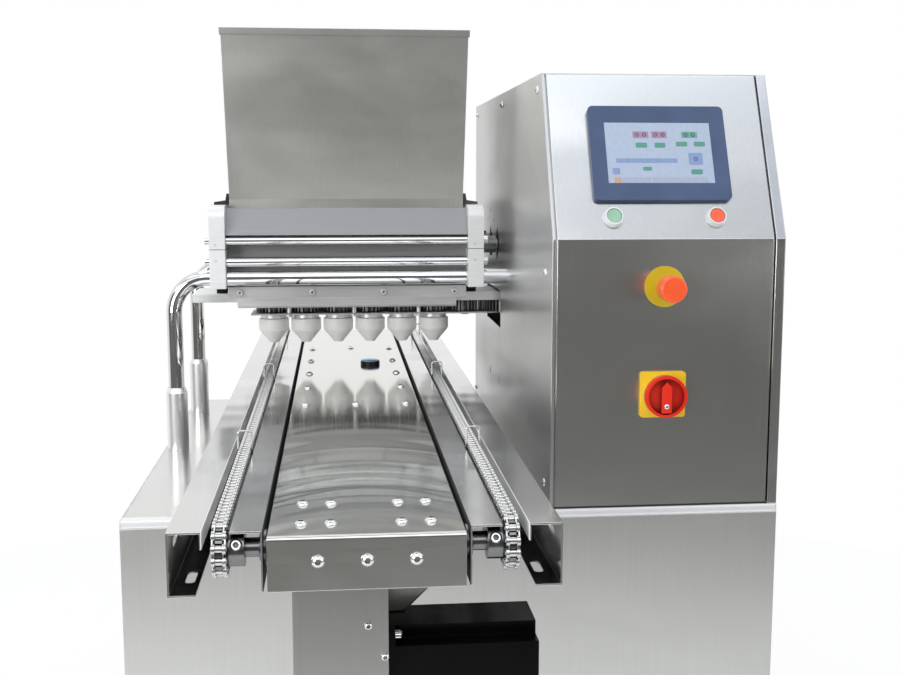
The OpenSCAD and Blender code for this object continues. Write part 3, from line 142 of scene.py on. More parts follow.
for (height, level), stop in zip(ROOM_LEVELS, stops):
    cool = CEILING_COOL if height > COOL_ABOVE else WALL_COOL
    stop.color = (level * (1 - cool), level, level * (1 + 2 * cool), 1)
sky.links.new(ramp(sky, split.outputs["Z"], -1, 1, 0, 1, "LINEAR"), profile.inputs["Fac"])
print("room levels:", len(ROOM_LEVELS))

# %% World: the paper behind the machine
BRIGHTEST = 1.8
PAPER = 0.92 / BRIGHTEST
PAPER_EDGE = 0.30
behind = ramp(sky, split.outputs["Y"], -PAPER_EDGE, PAPER_EDGE, 0.0, 1.0)
walls = add_node(sky, "ShaderNodeMix", data_type="RGBA")
walls.inputs["B"].default_value = (PAPER, PAPER, PAPER, 1)
sky.links.new(behind, walls.inputs["Factor"])
sky.links.new(profile.outputs["Color"], walls.inputs["A"])
room = add_node(sky, "ShaderNodeBackground")
room.inputs["Strength"].default_value = BRIGHTEST
sky.links.new(walls.outputs["Result"], room.inputs["Color"])
paper = add_node(sky, "ShaderNodeBackground")
paper.inputs["Color"].default_value = (1, 1, 1, 1)
rays = add_node(sky, "ShaderNodeLightPath").outputs
mirrored = math_of(sky, "MAXIMUM", rays["Is Glossy Ray"], rays["Is Transmission Ray"])
mirrors_paper = math_of(sky, "MULTIPLY", mirrored, behind)
shows_paper = math_of(sky, "MAXIMUM", rays["Is Camera Ray"], mirrors_paper)
choose = add_node(sky, "ShaderNodeMixShader")
world_out = add_node(sky, "ShaderNodeOutputWorld")
sky.links.new(shows_paper, choose.inputs["Fac"])
sky.links.new(room.outputs[0], choose.inputs[1])
sky.links.new(paper.outputs[0], choose.inputs[2])
sky.links.new(choose.outputs[0], world_out.inputs["Surface"])
print("world nodes:", len(sky.nodes))


# %% [markdown]
# ## Lamps
# The photograph has wide, soft highlights and no hard shadow, which is how large softboxes light a
# machine. The room alone would light it evenly, and a sun or a point lamp would draw hard shadows
# and sparks on steel. So there are four large square lamps, of which the left is the strongest.

# %% Lamps
def softbox(name, place, target, size, watts):
    """A square area lamp at a place, aimed at a target."""
    lamp = bpy.data.objects.new(name, bpy.data.lights.new(name, "AREA"))
    lamp.data.size = size
    lamp.data.energy = watts
    lamp.location = place
    lamp.rotation_euler = (Vector(target) - Vector(place)).to_track_quat("-Z", "Y").to_euler()
    bpy.context.scene.collection.objects.link(lamp)
    return lamp


lamps = [softbox("key_left", (-2.3, -2.6, 1.4), (-0.1, 0.2, 1.0), size=1.4, watts=50),
         softbox("fill_right", (2.6, -2.2, 1.5), (0.0, 0.2, 1.0), size=1.4, watts=14),
         softbox("front", (-0.3, -3.0, 3.1), (0.0, 0.3, 1.0), size=1.8, watts=14),
         softbox("top", (0.0, 0.8, 3.4), (0.0, 0.3, 1.0), size=2.4, watts=14)]
print("lamps:", len(lamps))

# %% [markdown]
# ## Floor
# The photograph has white all round, but a machine without a shadow seems to float. A plain white
# plane would show its far edge, so the floor is a pale disc that glows for the camera, which sinks
# into the paper and still takes the shadow under the feet.

# %% Floor
FLOOR_RADIUS, FLOOR_SIDES = 2.4, 96
FLOOR_COLOUR, FLOOR_GLOW = (0.90, 0.90, 0.89, 1), 0.80
a = np.linspace(0, 2 * np.pi, FLOOR_SIDES, endpoint=False)
rim = np.stack([FLOOR_RADIUS * np.cos(a), FLOOR_RADIUS * np.sin(a), np.zeros(FLOOR_SIDES)], -1)
floor_mesh = bpy.data.meshes.new("floor")
floor_mesh.from_pydata(rim.tolist(), [], [list(range(FLOOR_SIDES))])
floor = bpy.data.objects.new("floor", floor_mesh)
bpy.context.scene.collection.objects.link(floor)
floor_paint = bpy.data.materials.new("floor_paper")
floor_paint.use_nodes = True
tree = floor_paint.node_tree
tree.nodes.clear()
matte = add_node(tree, "ShaderNodeBsdfDiffuse")
matte.inputs["Color"].default_value = FLOOR_COLOUR
glow = add_node(tree, "ShaderNodeEmission")
seen = add_node(tree, "ShaderNodeLightPath").outputs["Is Camera Ray"]
mixed = add_node(tree, "ShaderNodeMixShader")
paint_out = add_node(tree, "ShaderNodeOutputMaterial")
tree.links.new(math_of(tree, "MULTIPLY", seen, FLOOR_GLOW), mixed.inputs["Fac"])
tree.links.new(matte.outputs[0], mixed.inputs[1])
tree.links.new(glow.outputs[0], mixed.inputs[2])
tree.links.new(mixed.outputs[0], paint_out.inputs["Surface"])
floor_mesh.materials.append(floor_paint)
print("floor radius:", FLOOR_RADIUS, "m")


# %% [markdown]
# ## Finishes
# Most of the machine is brushed stainless sheet. Brushing leaves fine parallel scratches, which
# smear reflections across them. A noise stretched along the brush direction gives the scratches
# their tone and gloss, a coarse noise adds the cloudy marks of handling, and the shader's
# anisotropy does the smear. A picture of scratches could do it too, but it needs an unwrapped mesh
# and shows where it repeats. Real bends and cut edges are never quite sharp and catch a thin line
# of light, so a Bevel node rounds the shading there and leaves the solid alone.

# %% Colour and noise helpers
def linear(r, g, b):
    """Screen colour from 0 to 255 as linear light."""
    c = np.array([r, g, b]) / 255
    return (*np.where(c <= 0.04045, c / 12.92, ((c + 0.055) / 1.055) ** 2.4).tolist(), 1.0)


def opened(paint):
    """The tree of a material and its Principled shader."""
    return paint.node_tree, paint.node_tree.nodes["Principled BSDF"]


def blank_finish(name):
    """A material with one Principled shader, its tree, and that shader."""
    paint = bpy.data.materials.new(name)
    paint.use_nodes = True
    return (paint, *opened(paint))


def stretched_noise(tree, per_metre, detail=3.0, distortion=0.0):
    """Noise on Object coordinates with its own number of spots per metre along X, Y and Z."""
    where = add_node(tree, "ShaderNodeTexCoord")
    stretch = add_node(tree, "ShaderNodeMapping")
    stretch.inputs["Scale"].default_value = per_metre
    spots = add_node(tree, "ShaderNodeTexNoise")
    spots.inputs["Scale"].default_value = 1.0
    spots.inputs["Detail"].default_value = detail
    spots.inputs["Distortion"].default_value = distortion
    tree.links.new(where.outputs["Object"], stretch.inputs["Vector"])
    tree.links.new(stretch.outputs["Vector"], spots.inputs["Vector"])
    return spots.outputs["Fac"]


def spread(tree, value, low, high):
    """A noise value, which stays near 0.3 to 0.7, mapped onto low to high."""
    return ramp(tree, value, 0.3, 0.7, low, high, "LINEAR")


def two_tone(tree, value, dark, light):
    """Colour between dark and light, each a colour or a socket, by a 0 to 1 value."""
    made = add_node(tree, "ShaderNodeMix", data_type="RGBA")
    for socket, colour in (("A", dark), ("B", light)):
        if isinstance(colour, tuple):
            made.inputs[socket].default_value = colour
        else:
            tree.links.new(colour, made.inputs[socket])
    tree.links.new(value, made.inputs["Factor"])
    return made.outputs["Result"]


print("half of screen white as light:", round(linear(128, 128, 128)[0], 3))


# %% Place and edge helpers
def axes_of(tree):
    """The X, Y and Z of Object coordinates."""
    where = add_node(tree, "ShaderNodeTexCoord")
    parts = add_node(tree, "ShaderNodeSeparateXYZ")
    tree.links.new(where.outputs["Object"], parts.inputs[0])
    return parts.outputs


def away_from(tree, value, middle):
    """How far a value is from a middle, either way."""
    return math_of(tree, "ABSOLUTE", math_of(tree, "SUBTRACT", value, middle), 0.0)


def stain_or_painted_light(tree, shader, share, stain_or_light=(0.0, 0.0, 0.0, 1.0)):
    """Keeps the shader's colour where share is one and turns it to stain_or_light where it is
    nought, for marks of use and for painted light or shade alike.
    """
    former_colour = shader.inputs["Base Color"].links[0].from_socket
    tree.links.new(two_tone(tree, share, stain_or_light, former_colour), shader.inputs["Base Color"])


def soft_edges(tree, shader, radius):
    """Shading that rounds each sharp edge off within a radius."""
    made = add_node(tree, "ShaderNodeBevel", samples=8)
    made.inputs["Radius"].default_value = radius
    tree.links.new(made.outputs["Normal"], shader.inputs["Normal"])


def hollow_shade(tree, shader, reach, deepest, shut=0.10, clear=0.75):
    """Painted shade in hollows: as the open share of the space within reach falls from clear to
    shut, the colour falls to deepest."""
    open_share = add_node(tree, "ShaderNodeAmbientOcclusion", samples=4)
    open_share.inputs["Distance"].default_value = reach
    stain_or_painted_light(tree, shader, ramp(tree, open_share.outputs["AO"], shut, clear, deepest, 1.0))


def relief(tree, value, shader, strength, depth):
    """Bump from a value, chained onto whatever relief the shader already has."""
    made = add_node(tree, "ShaderNodeBump")
    made.inputs["Strength"].default_value = strength
    made.inputs["Distance"].default_value = depth
    tree.links.new(value, made.inputs["Height"])
    if shader.inputs["Normal"].is_linked:
        tree.links.new(shader.inputs["Normal"].links[0].from_socket, made.inputs["Normal"])
    tree.links.new(made.outputs["Normal"], shader.inputs["Normal"])


print("marks:", [helper.__name__ for helper in (stain_or_painted_light, soft_edges, hollow_shade, relief)])

# %% Brushed and polished steel
SCRATCH_DARK, SCRATCH_LIGHT, SCRATCH_GLOSS = 0.972, 1.024, 0.01
CLOUDS = (4, 4, 9)


def brushed(name, tone, gloss, grain, smear=(0.0, "Z"), cloud=0.04, edge=0.0012,
            painted_shade=(0.0, 1.0), metal=1.0, warm=0.01):
    """Steel: tone is its grey, gloss its roughness, grain the scratches per metre on each axis,
    smear the anisotropy and the axis it runs round, cloud the unevenness, edge the rounding of
    edges, painted_shade the reach, deepest tone and limits of the painted shade in hollows, metal
    below one a blasted, paler surface, and warm the share of blue that the steel lacks."""
    paint, tree, shader = blank_finish(name)
    scratches = stretched_noise(tree, grain, detail=2.0)
    clouds = stretched_noise(tree, CLOUDS, detail=4.0, distortion=0.8)
    dark, light = [(v, v, v * (1 - warm), 1.0) for v in (tone * SCRATCH_DARK, tone * SCRATCH_LIGHT)]
    grey = two_tone(tree, spread(tree, scratches, 0.0, 1.0), dark, light)
    tree.links.new(grey, shader.inputs["Base Color"])
    fine = spread(tree, scratches, -SCRATCH_GLOSS, SCRATCH_GLOSS)
    uneven = math_of(tree, "ADD", fine, spread(tree, clouds, -cloud, cloud))
    tree.links.new(math_of(tree, "ADD", uneven, gloss), shader.inputs["Roughness"])
    # Painted shade: the colour darkens in hollows.
    if painted_shade[0]:
        hollow_shade(tree, shader, *painted_shade)
    shader.inputs["Metallic"].default_value = metal
    if smear[0]:
        shader.inputs["Anisotropic"].default_value = smear[0]
        along = add_node(tree, "ShaderNodeTangent", direction_type="RADIAL", axis=smear[1])
        tree.links.new(along.outputs["Tangent"], shader.inputs["Tangent"])
    soft_edges(tree, shader, edge)
    return paint


print("scratches change the tone by", round(SCRATCH_LIGHT - SCRATCH_DARK, 3))

# %% [markdown]
# ## A family of steels
# The sheets are all of stainless steel, but each is brushed its own way, mirrors another part of
# the room and has its own wear. Every finish could be drawn by hand in the shader editor. One
# function and a table of looks keep them a family, and a row is easy to compare with the
# photograph. Turned and machined pieces are smoother or blasted, and most get painted shade that
# darkens their hollows.

# %% Steels of the sheets
UPRIGHT, LENGTHWISE = (700, 240, 5), (700, 6, 240)
WARM = 0.05
sheets = {
    "panel_steel": dict(tone=0.57, gloss=0.35, grain=UPRIGHT, smear=(0.3, "Z"),
                        cloud=0.03, edge=0.002, warm=WARM),
    "front_steel": dict(tone=0.64, gloss=0.22, grain=UPRIGHT, smear=(0.8, "Z"),
                        cloud=0.02, edge=0.0022, warm=0.04),
    "strip_steel": dict(tone=0.66, gloss=0.16, grain=UPRIGHT, smear=(0.3, "Z"),
                        cloud=0.05, edge=0.0022),
    "wall_steel": dict(tone=0.56, gloss=0.32, grain=(240, 700, 5), smear=(0.6, "Z"),
                       cloud=0.025, edge=0.0022),
    "deck_steel": dict(tone=0.70, gloss=0.21, grain=(700, 6, 6), smear=(0.3, "X"),
                       cloud=0.03, edge=0.006),
    "rail_steel": dict(tone=0.68, gloss=0.14, grain=LENGTHWISE, smear=(0.2, "X"),
                       cloud=0.05, edge=0.0009, painted_shade=(0.07, 0.04, 0.15, 0.75)),
    "hopper_steel": dict(tone=0.64, gloss=0.33, grain=UPRIGHT, smear=(0.3, "Z"),
                         cloud=0.03, edge=0.001, warm=WARM),
    "housing_steel": dict(tone=0.33, gloss=0.34, grain=(5, 300, 300), smear=(0.2, "X"),
                          cloud=0.04, edge=0.002, metal=0.4),
    "drive_steel": dict(tone=0.39, gloss=0.35, grain=UPRIGHT, smear=(0.2, "Z"),
                        cloud=0.03, edge=0.003, warm=WARM),
    "cover_steel": dict(tone=0.58, gloss=0.20, grain=(6, 300, 600), smear=(0.4, "X"),
                        cloud=0.05, edge=0.0012, warm=WARM),
}
finish = {name: brushed(name, **looks) for name, looks in sheets.items()}
print("sheet finishes:", len(finish))

# %% Steels and alloys of turned and machined pieces
machined = {
    "polished_steel": dict(tone=0.72, gloss=0.11, grain=(40, 300, 300), cloud=0.02, edge=0.0008),
    "post_steel": dict(tone=0.74, gloss=0.06, grain=(200, 200, 30), cloud=0.02, edge=0.0008),
    "sleeve_alloy": dict(tone=0.82, gloss=0.32, grain=(200, 200, 600), smear=(0.3, "Z"),
                         cloud=0.02, edge=0.0012, metal=0.85),
    "machined_alloy": dict(tone=0.84, gloss=0.44, grain=(20, 400, 400), smear=(0.2, "X"),
                           cloud=0.06, edge=0.0015, painted_shade=(0.010, 0.2), metal=0.55),
    "collar_steel": dict(tone=0.78, gloss=0.40, grain=(200, 200, 400),
                         cloud=0.03, edge=0.0008, painted_shade=(0.006, 0.3), metal=0.45),
    "flange_alloy": dict(tone=0.64, gloss=0.38, grain=(20, 400, 400), smear=(0.2, "X"),
                         cloud=0.06, edge=0.0015, painted_shade=(0.007, 0.04), metal=0.75),
    "chain_steel": dict(tone=0.60, gloss=0.20, grain=(300, 300, 300),
                        cloud=0.04, edge=0.0004, painted_shade=(0.010, 0.02, 0.25, 0.80)),
    "shaft_steel": dict(tone=0.20, gloss=0.20, grain=(600, 150, 150), smear=(0.2, "X"),
                        cloud=0.04, edge=0.0006, painted_shade=(0.012, 0.1)),
    "roller_steel": dict(tone=0.48, gloss=0.20, grain=(600, 150, 150), smear=(0.2, "X"),
                         cloud=0.04, edge=0.0006, painted_shade=(0.012, 0.1)),
    "gear_steel": dict(tone=0.20, gloss=0.36, grain=(200, 200, 200),
                       cloud=0.05, edge=0.0004, painted_shade=(0.008, 0.1)),
    "screw_steel": dict(tone=0.76, gloss=0.14, grain=(400, 400, 400),
                        cloud=0.03, edge=0.0005, painted_shade=(0.004, 0.03)),
    "bearing_bronze": dict(tone=0.40, gloss=0.36, grain=(300, 300, 300), cloud=0.04, edge=0.0006),
}
finish.update({name: brushed(name, **looks) for name, looks in machined.items()})
print("metal finishes:", len(finish))

# %% [markdown]
# ## Marks of use and painted light
# Three sheets differ within themselves. The rails are slightly wavy, with a pale painted highlight
# along the lip beside the chain and black painted shade, dull as well, in the gap beside the table.
# The hopper has wiped marks, wide across and soft, and a rim darkened as painted shade. The deck's
# folded edge has a painted highlight, paler and less metallic. Such marks could be painted by hand
# as a mask. Here each one is a ramp of a coordinate or of a noise, because the places are measured
# on the solids and stay right when a size changes.

# %% Waves and painted light on the rails
RAIL_W, TABLE_GAP = 0.035, 0.004
WAVES, WAVE_DEPTH = (5, 7, 5), 0.003
PAINTED_FROM, LIP_TO, GAP_TO = 0.0004, 0.0012, 0.0010
LIP_HIGHLIGHT_TONE, GAP_SHADE_TONE = (0.92, 0.92, 0.90, 1.0), (0.015, 0.015, 0.015, 1.0)
PAINTED_METAL, GAP_ROUGH = 0.05, 0.85
tree, shader = opened(finish["rail_steel"])
relief(tree, stretched_noise(tree, WAVES, detail=1.0), shader, 1.0, WAVE_DEPTH)
rail_low, rail_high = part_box("outer_rails")
lip_x = (rail_high.x - rail_low.x) / 2 - RAIL_W
gap_x = (table_high.x - table_low.x) / 2 + TABLE_GAP
across = away_from(tree, axes_of(tree)["X"], centre_x)
off_lip_highlight = ramp(tree, away_from(tree, across, lip_x), PAINTED_FROM, LIP_TO, 0.0, 1.0)
off_gap_shade = ramp(tree, away_from(tree, across, gap_x), PAINTED_FROM, GAP_TO, 0.0, 1.0)
# Painted highlight: a pale, almost non-metallic band along the lip beside the chain.
stain_or_painted_light(tree, shader, off_lip_highlight, LIP_HIGHLIGHT_TONE)
# Painted shade: a black band, also dull, in the gap beside the table.
stain_or_painted_light(tree, shader, off_gap_shade, GAP_SHADE_TONE)
bare = math_of(tree, "MULTIPLY", off_lip_highlight, off_gap_shade)
tree.links.new(ramp(tree, bare, 0.0, 1.0, PAINTED_METAL, 1.0, "LINEAR"), shader.inputs["Metallic"])
brushed_rough = shader.inputs["Roughness"].links[0].from_socket
dull = ramp(tree, off_gap_shade, 0.0, 1.0, GAP_ROUGH, 0.0, "LINEAR")
tree.links.new(math_of(tree, "MAXIMUM", brushed_rough, dull), shader.inputs["Roughness"])
print("lip and gap from the middle:", round(lip_x, 4), round(gap_x, 4))

# %% Wipe marks and a painted rim shade on the hopper
RIM, RIM_FADE, RIM_SHADE_TONE = 0.012, 0.001, 0.66
WIPES, WIPED_DARK, WIPED_LIGHT = (5, 5, 14), 0.90, 1.03
tree, shader = opened(finish["hopper_steel"])
wiped = stretched_noise(tree, WIPES, detail=2.0, distortion=0.6)
stain_or_painted_light(tree, shader, spread(tree, wiped, WIPED_DARK, WIPED_LIGHT))
rim_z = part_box("hopper")[1].z - RIM
rim_shade = ramp(tree, axes_of(tree)["Z"], rim_z - RIM_FADE, rim_z + RIM_FADE, 1.0, RIM_SHADE_TONE)
# Painted shade: the band of the rim at the top is darker.
stain_or_painted_light(tree, shader, rim_shade)
print("rim from z:", round(rim_z, 4))

# %% Painted highlight on the deck's folded edge
HEM, HEM_HIGHLIGHT_TONE, HEM_HIGHLIGHT_METAL = 0.020, (0.86, 0.86, 0.86, 1.0), 0.45
tree, shader = opened(finish["deck_steel"])
hem_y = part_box("base_deck")[0].y
plain = ramp(tree, axes_of(tree)["Y"], hem_y + HEM * 0.9, hem_y + HEM, 0.0, 1.0)
# Painted highlight: the folded front edge is paler and less metallic.
stain_or_painted_light(tree, shader, plain, HEM_HIGHLIGHT_TONE)
tree.links.new(ramp(tree, plain, 0.0, 1.0, HEM_HIGHLIGHT_METAL, 1.0, "LINEAR"), shader.inputs["Metallic"])
print("folded edge to y:", round(hem_y + HEM, 4))


# %% [markdown]
# ## Table plate
# The tray table is the brightest mirror on the machine, and its thin sheet isn't flat: reflections
# of the nozzles and the hopper break into arcs across it. The sheet itself could be dented, but a
# solid isn't changed here. So the ripples are a relief in the shading, along Y and bowed back from
# the middle: a one-dimensional noise of y + bow (x - middle) squared.

# %% Rippled table finish
def rippled(name, tone, gloss, middle, bow, per_metre, depth, flat):
    """Brushed steel with ripples of a depth along Y, bowed round a middle X, that die away between
    the two Y's of flat."""
    paint = brushed(name, tone, gloss, grain=(700, 8, 300), smear=(0.3, "X"),
                    cloud=0.02, edge=0.002, warm=WARM)
    tree, shader = opened(paint)
    axes = axes_of(tree)
    off = math_of(tree, "POWER", away_from(tree, axes["X"], middle), 2.0)
    line = math_of(tree, "ADD", axes["Y"], math_of(tree, "MULTIPLY", off, bow))
    waves = add_node(tree, "ShaderNodeTexNoise", noise_dimensions="1D")
    waves.inputs["Scale"].default_value = per_metre
    waves.inputs["Detail"].default_value = 1.0
    tree.links.new(line, waves.inputs["W"])
    fade = ramp(tree, axes["Y"], flat[0], flat[1], 1.0, 0.0)
    rise = math_of(tree, "MULTIPLY", math_of(tree, "SUBTRACT", waves.outputs["Fac"], 0.5), fade)
    relief(tree, rise, shader, 1.0, depth)
    return paint


flat_from = (front_y + 0.40, front_y + 0.60)
finish["table_steel"] = rippled("table_steel", tone=0.70, gloss=0.09, middle=centre_x, bow=5.0,
                                per_metre=11.0, depth=0.0020, flat=flat_from)
print("ripples end at y:", [round(y, 3) for y in flat_from])


# %% [markdown]
# ## Side plates
# The head's side plates are pale machined blocks in two halves that clamp the roller bushes. The
# halves are two solids that touch, and light alone would leave no line there. A groove could be
# cut, but a solid isn't changed here, so the finish darkens within a millimetre of that height.

# %% Side plate finish
JOINT_TONE = (0.12, 0.12, 0.115, 1.0)


def parted(name, tone, joint_z, half):
    """Machined alloy whose tone drops within half of the height joint_z."""
    paint = brushed(name, tone, gloss=0.46, grain=(30, 200, 200), cloud=0.06, metal=0.35)
    tree, shader = opened(paint)
    away = away_from(tree, axes_of(tree)["Z"], joint_z)
    stain_or_painted_light(tree, shader, ramp(tree, away, half * 0.4, half, 0.0, 1.0), JOINT_TONE)
    return paint


joint_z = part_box("side_plates_lower")[1].z
finish["plate_alloy"] = parted("plate_alloy", tone=0.78, joint_z=joint_z, half=0.0009)
print("joint height:", round(joint_z, 4))


# %% [markdown]
# ## Plastics and paint
# The controls are moulded plastic, the motor is painted and the feet are rubber. Plain colours
# would look like a drawing, because real plastic has a faint mottle, gloss that varies with
# handling and a fine grain. All three come from noises, so that no finish is quite even.

# %% Moulded finish
MOTTLE, MOULDED_EDGE, GRAIN_STRENGTH = (14, 14, 14), 0.0008, 0.2


def moulded(name, dark, light, gloss, grain, depth=0.0001, coat=0.0, shine=0.5, painted_shade=(0.0, 1.0)):
    """Moulded plastic or paint: a mottle between two screen colours, gloss between two values, a
    grain of so many spots per metre and a depth, a clear coat, the shine of the bare surface, and
    painted_shade as the reach and deepest tone of the painted shade in hollows."""
    paint, tree, shader = blank_finish(name)
    mottle = stretched_noise(tree, MOTTLE, detail=5.0)
    colour = two_tone(tree, spread(tree, mottle, 0.0, 1.0), linear(*dark), linear(*light))
    tree.links.new(colour, shader.inputs["Base Color"])
    tree.links.new(spread(tree, mottle, gloss[0], gloss[1]), shader.inputs["Roughness"])
    shader.inputs["Coat Weight"].default_value = coat
    shader.inputs["Specular IOR Level"].default_value = shine
    # Painted shade: the colour darkens in hollows.
    if painted_shade[0]:
        hollow_shade(tree, shader, *painted_shade)
    soft_edges(tree, shader, MOULDED_EDGE)
    fine = stretched_noise(tree, (grain, grain, grain), detail=2.0)
    relief(tree, fine, shader, GRAIN_STRENGTH, depth)
    return paint


print("mottle spots per metre:", MOTTLE[0])

# %% Plastic, rubber and paint finishes
plastics = {
    "white_plastic": dict(dark=(240, 239, 235), light=(248, 247, 244), gloss=(0.34, 0.46),
                          grain=600),
    "black_plastic": dict(dark=(9, 10, 12), light=(18, 19, 21), gloss=(0.36, 0.5),
                          grain=900, depth=0.0002, shine=0.25),
    "motor_black": dict(dark=(3, 3, 4), light=(8, 8, 9), gloss=(0.22, 0.26),
                        grain=500, depth=0.0002, shine=0.10),
    "bezel_plastic": dict(dark=(54, 70, 104), light=(66, 84, 118), gloss=(0.36, 0.46),
                          grain=1200),
    "green_plastic": dict(dark=(130, 176, 142), light=(148, 190, 158), gloss=(0.28, 0.4),
                          grain=300, coat=0.3),
    "orange_plastic": dict(dark=(240, 84, 38), light=(252, 100, 52), gloss=(0.26, 0.36),
                           grain=300, coat=0.3),
    "red_plastic": dict(dark=(208, 34, 18), light=(224, 48, 30), gloss=(0.30, 0.4),
                        grain=400, shine=0.3, painted_shade=(0.025, 0.15)),
    "yellow_plastic": dict(dark=(226, 186, 30), light=(238, 200, 48), gloss=(0.32, 0.42),
                           grain=500, coat=0.15),
    "ring_yellow": dict(dark=(196, 168, 26), light=(208, 182, 42), gloss=(0.34, 0.44),
                        grain=500, coat=0.1),
    "button_metal": dict(dark=(206, 210, 211), light=(226, 229, 229), gloss=(0.2, 0.3),
                         grain=400, coat=0.4),
    "foot_rubber": dict(dark=(24, 24, 25), light=(38, 38, 39), gloss=(0.6, 0.8),
                        grain=700, depth=0.0003),
    "dark_frame": dict(dark=(96, 98, 100), light=(116, 118, 120), gloss=(0.45, 0.6),
                       grain=500, depth=0.0003),
    "sensor_blue": dict(dark=(70, 116, 156), light=(92, 140, 178), gloss=(0.12, 0.2),
                        grain=300, coat=0.6),
}
finish.update({name: moulded(name, **looks) for name, looks in plastics.items()})
print("plastic finishes:", len(plastics))

# %% [markdown]
# ## Lit screen
# The touch panel is on, but in a bright studio a screen looks only a little brighter than print.
# A lamp behind the glass would spill light on the bezel. So each field is a colour that is lit by
# the room and shines faintly by itself.

# %% Lit screen finishes
FIELD_GLOW, FIELD_GLOSS, FIELD_DIM, FIELD_GRAIN = 0.12, 0.14, 0.92, (180, 180, 180)


def lit_field(name, colour):
    """A printed field of the lit screen: a mottled colour that also shines a little."""
    paint, tree, shader = blank_finish(name)
    mottle = spread(tree, stretched_noise(tree, FIELD_GRAIN, detail=2.0), 0.0, 1.0)
    tone = two_tone(tree, mottle, tuple(c * FIELD_DIM for c in colour[:3]) + (1.0,), colour)
    tree.links.new(tone, shader.inputs["Base Color"])
    tree.links.new(tone, shader.inputs["Emission Color"])
    shader.inputs["Emission Strength"].default_value = FIELD_GLOW
    shader.inputs["Roughness"].default_value = FIELD_GLOSS
    return paint


field_colours = {"screen_glass": (164, 177, 196), "field_green": (84, 142, 124),
                 "field_teal": (104, 150, 138), "field_rose": (160, 128, 150),
                 "field_blue": (126, 146, 184), "field_grey": (158, 166, 184),
                 "field_sand": (190, 150, 122)}
finish.update({name: lit_field(name, linear(*seen)) for name, seen in field_colours.items()})
print("finishes:", len(finish))

# %% [markdown]
# ## Dressing the solids
# Each node keeps its solid and takes a finish. The record gives every node a slot, such as panel
# steel, which could name the finish outright. But a sheet that lies flat is brushed along the
# conveyor and one that stands is brushed upright, so some nodes wear a finish of their own.

# %% Give every node its finish
wears = {
    "front_steel": ["cabinet_front_panel"],
    "strip_steel": ["cabinet_right_cover"],
    "wall_steel": ["cabinet_left_wall"],
    "deck_steel": ["base_deck"],
    "cover_steel": ["end_covers"],
    "rail_steel": ["outer_rails", "inner_rails"],
    "hopper_steel": ["hopper"],
    "housing_steel": ["housing_walls"],
    "drive_steel": ["drive_housing"],
    "flange_alloy": ["discharge_flange", "gear_plate"],
    "post_steel": ["support_tubes"],
    "sleeve_alloy": ["post_sleeves"],
    "plate_alloy": ["side_plates_lower", "side_plates_upper"],
    "shaft_steel": ["front_shaft", "rear_shaft", "shaft_bearings", "hopper_clips"],
    "ring_yellow": ["estop_ring"],
    "roller_steel": ["feed_roller_front", "feed_roller_rear"],
}
special = {node: name for name, names in wears.items() for node in names}
for part in frame["record"]["subparts"]:
    solid = nodes[part["node"]]
    solid.data.materials.clear()
    solid.data.materials.append(finish[special.get(part["node"], part["material_slot"])])


# %% [markdown]
# ## Surfaces from numbers
# Small pieces could be built with Blender's primitives and modifiers. Here a new piece is a grid
# of points worked out with numpy, because its size is then exact and its seams can be sewn shut.
# A lathe piece turns a profile round an axis, and a repeated piece is one grid copied to many
# places with whole-array sums.

# %% Mesh helpers
SEW, SHARP = 1e-6, math.radians(38)


def put_mesh(name, points, faces, paint, body, slot):
    """Makes an object from points and quads, sews its seams and poles shut, shades it smooth apart
    from sharp edges and lets it ride a body."""
    mesh = bpy.data.meshes.new(name)
    mesh.from_pydata(np.asarray(points).reshape(-1, 3).tolist(), [], np.asarray(faces).tolist())
    sewn = bmesh.new()
    sewn.from_mesh(mesh)
    bmesh.ops.remove_doubles(sewn, verts=sewn.verts, dist=SEW)
    bmesh.ops.recalc_face_normals(sewn, faces=sewn.faces)
    sewn.to_mesh(mesh)
    sewn.free()
    mesh.materials.append(paint)
    mesh.polygons.foreach_set("use_smooth", np.full(len(mesh.polygons), True))
    mesh.set_sharp_from_angle(angle=SHARP)
    piece = bpy.data.objects.new(name, mesh)
    bpy.context.scene.collection.objects.link(piece)
    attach(piece, body)
    return piece


def ring_faces(rings, count):
    """Quads between rings of count points each, closed round the ring."""
    i, j = np.meshgrid(np.arange(rings - 1), np.arange(count), indexing="ij")
    k = (j + 1) % count
    corners = [i * count + j, i * count + k, (i + 1) * count + k, (i + 1) * count + j]
    return np.stack(corners, -1).reshape(-1, 4)


def ring_points(radii, heights):
    """Points (r cos a, r sin a, h) for a row of radii at even angles a for each height h."""
    count = radii.shape[1]
    a = np.linspace(0, 2 * np.pi, count, endpoint=False)
    level = np.repeat(np.asarray(heights)[:, None], count, 1)
    return np.stack([radii * np.cos(a), radii * np.sin(a), level], -1)


def lathe(profile, count):
    """Rings of count points round an axis, one for each (r, h) of a profile, with faces."""
    r, h = np.asarray(profile, float).T
    return ring_points(np.outer(r, np.ones(count)), h), ring_faces(len(r), count)


print("faces of a plain tube of 24 sides:", len(ring_faces(2, 24)))


# %% Placing helpers
def copies(points, faces, frames):
    """One grid repeated at each frame, a (3, 4) array of two side axes, an outward axis and a
    place."""
    flat, faces = np.asarray(points).reshape(-1, 3), np.asarray(faces)
    frames = np.asarray(frames, float)
    moved = np.einsum("nij,pj->npi", frames[:, :, :3], flat) + frames[:, None, :, 3]
    shifts = np.arange(len(frames))[:, None, None] * len(flat)
    return moved.reshape(-1, 3), (faces[None] + shifts).reshape(-1, faces.shape[1])


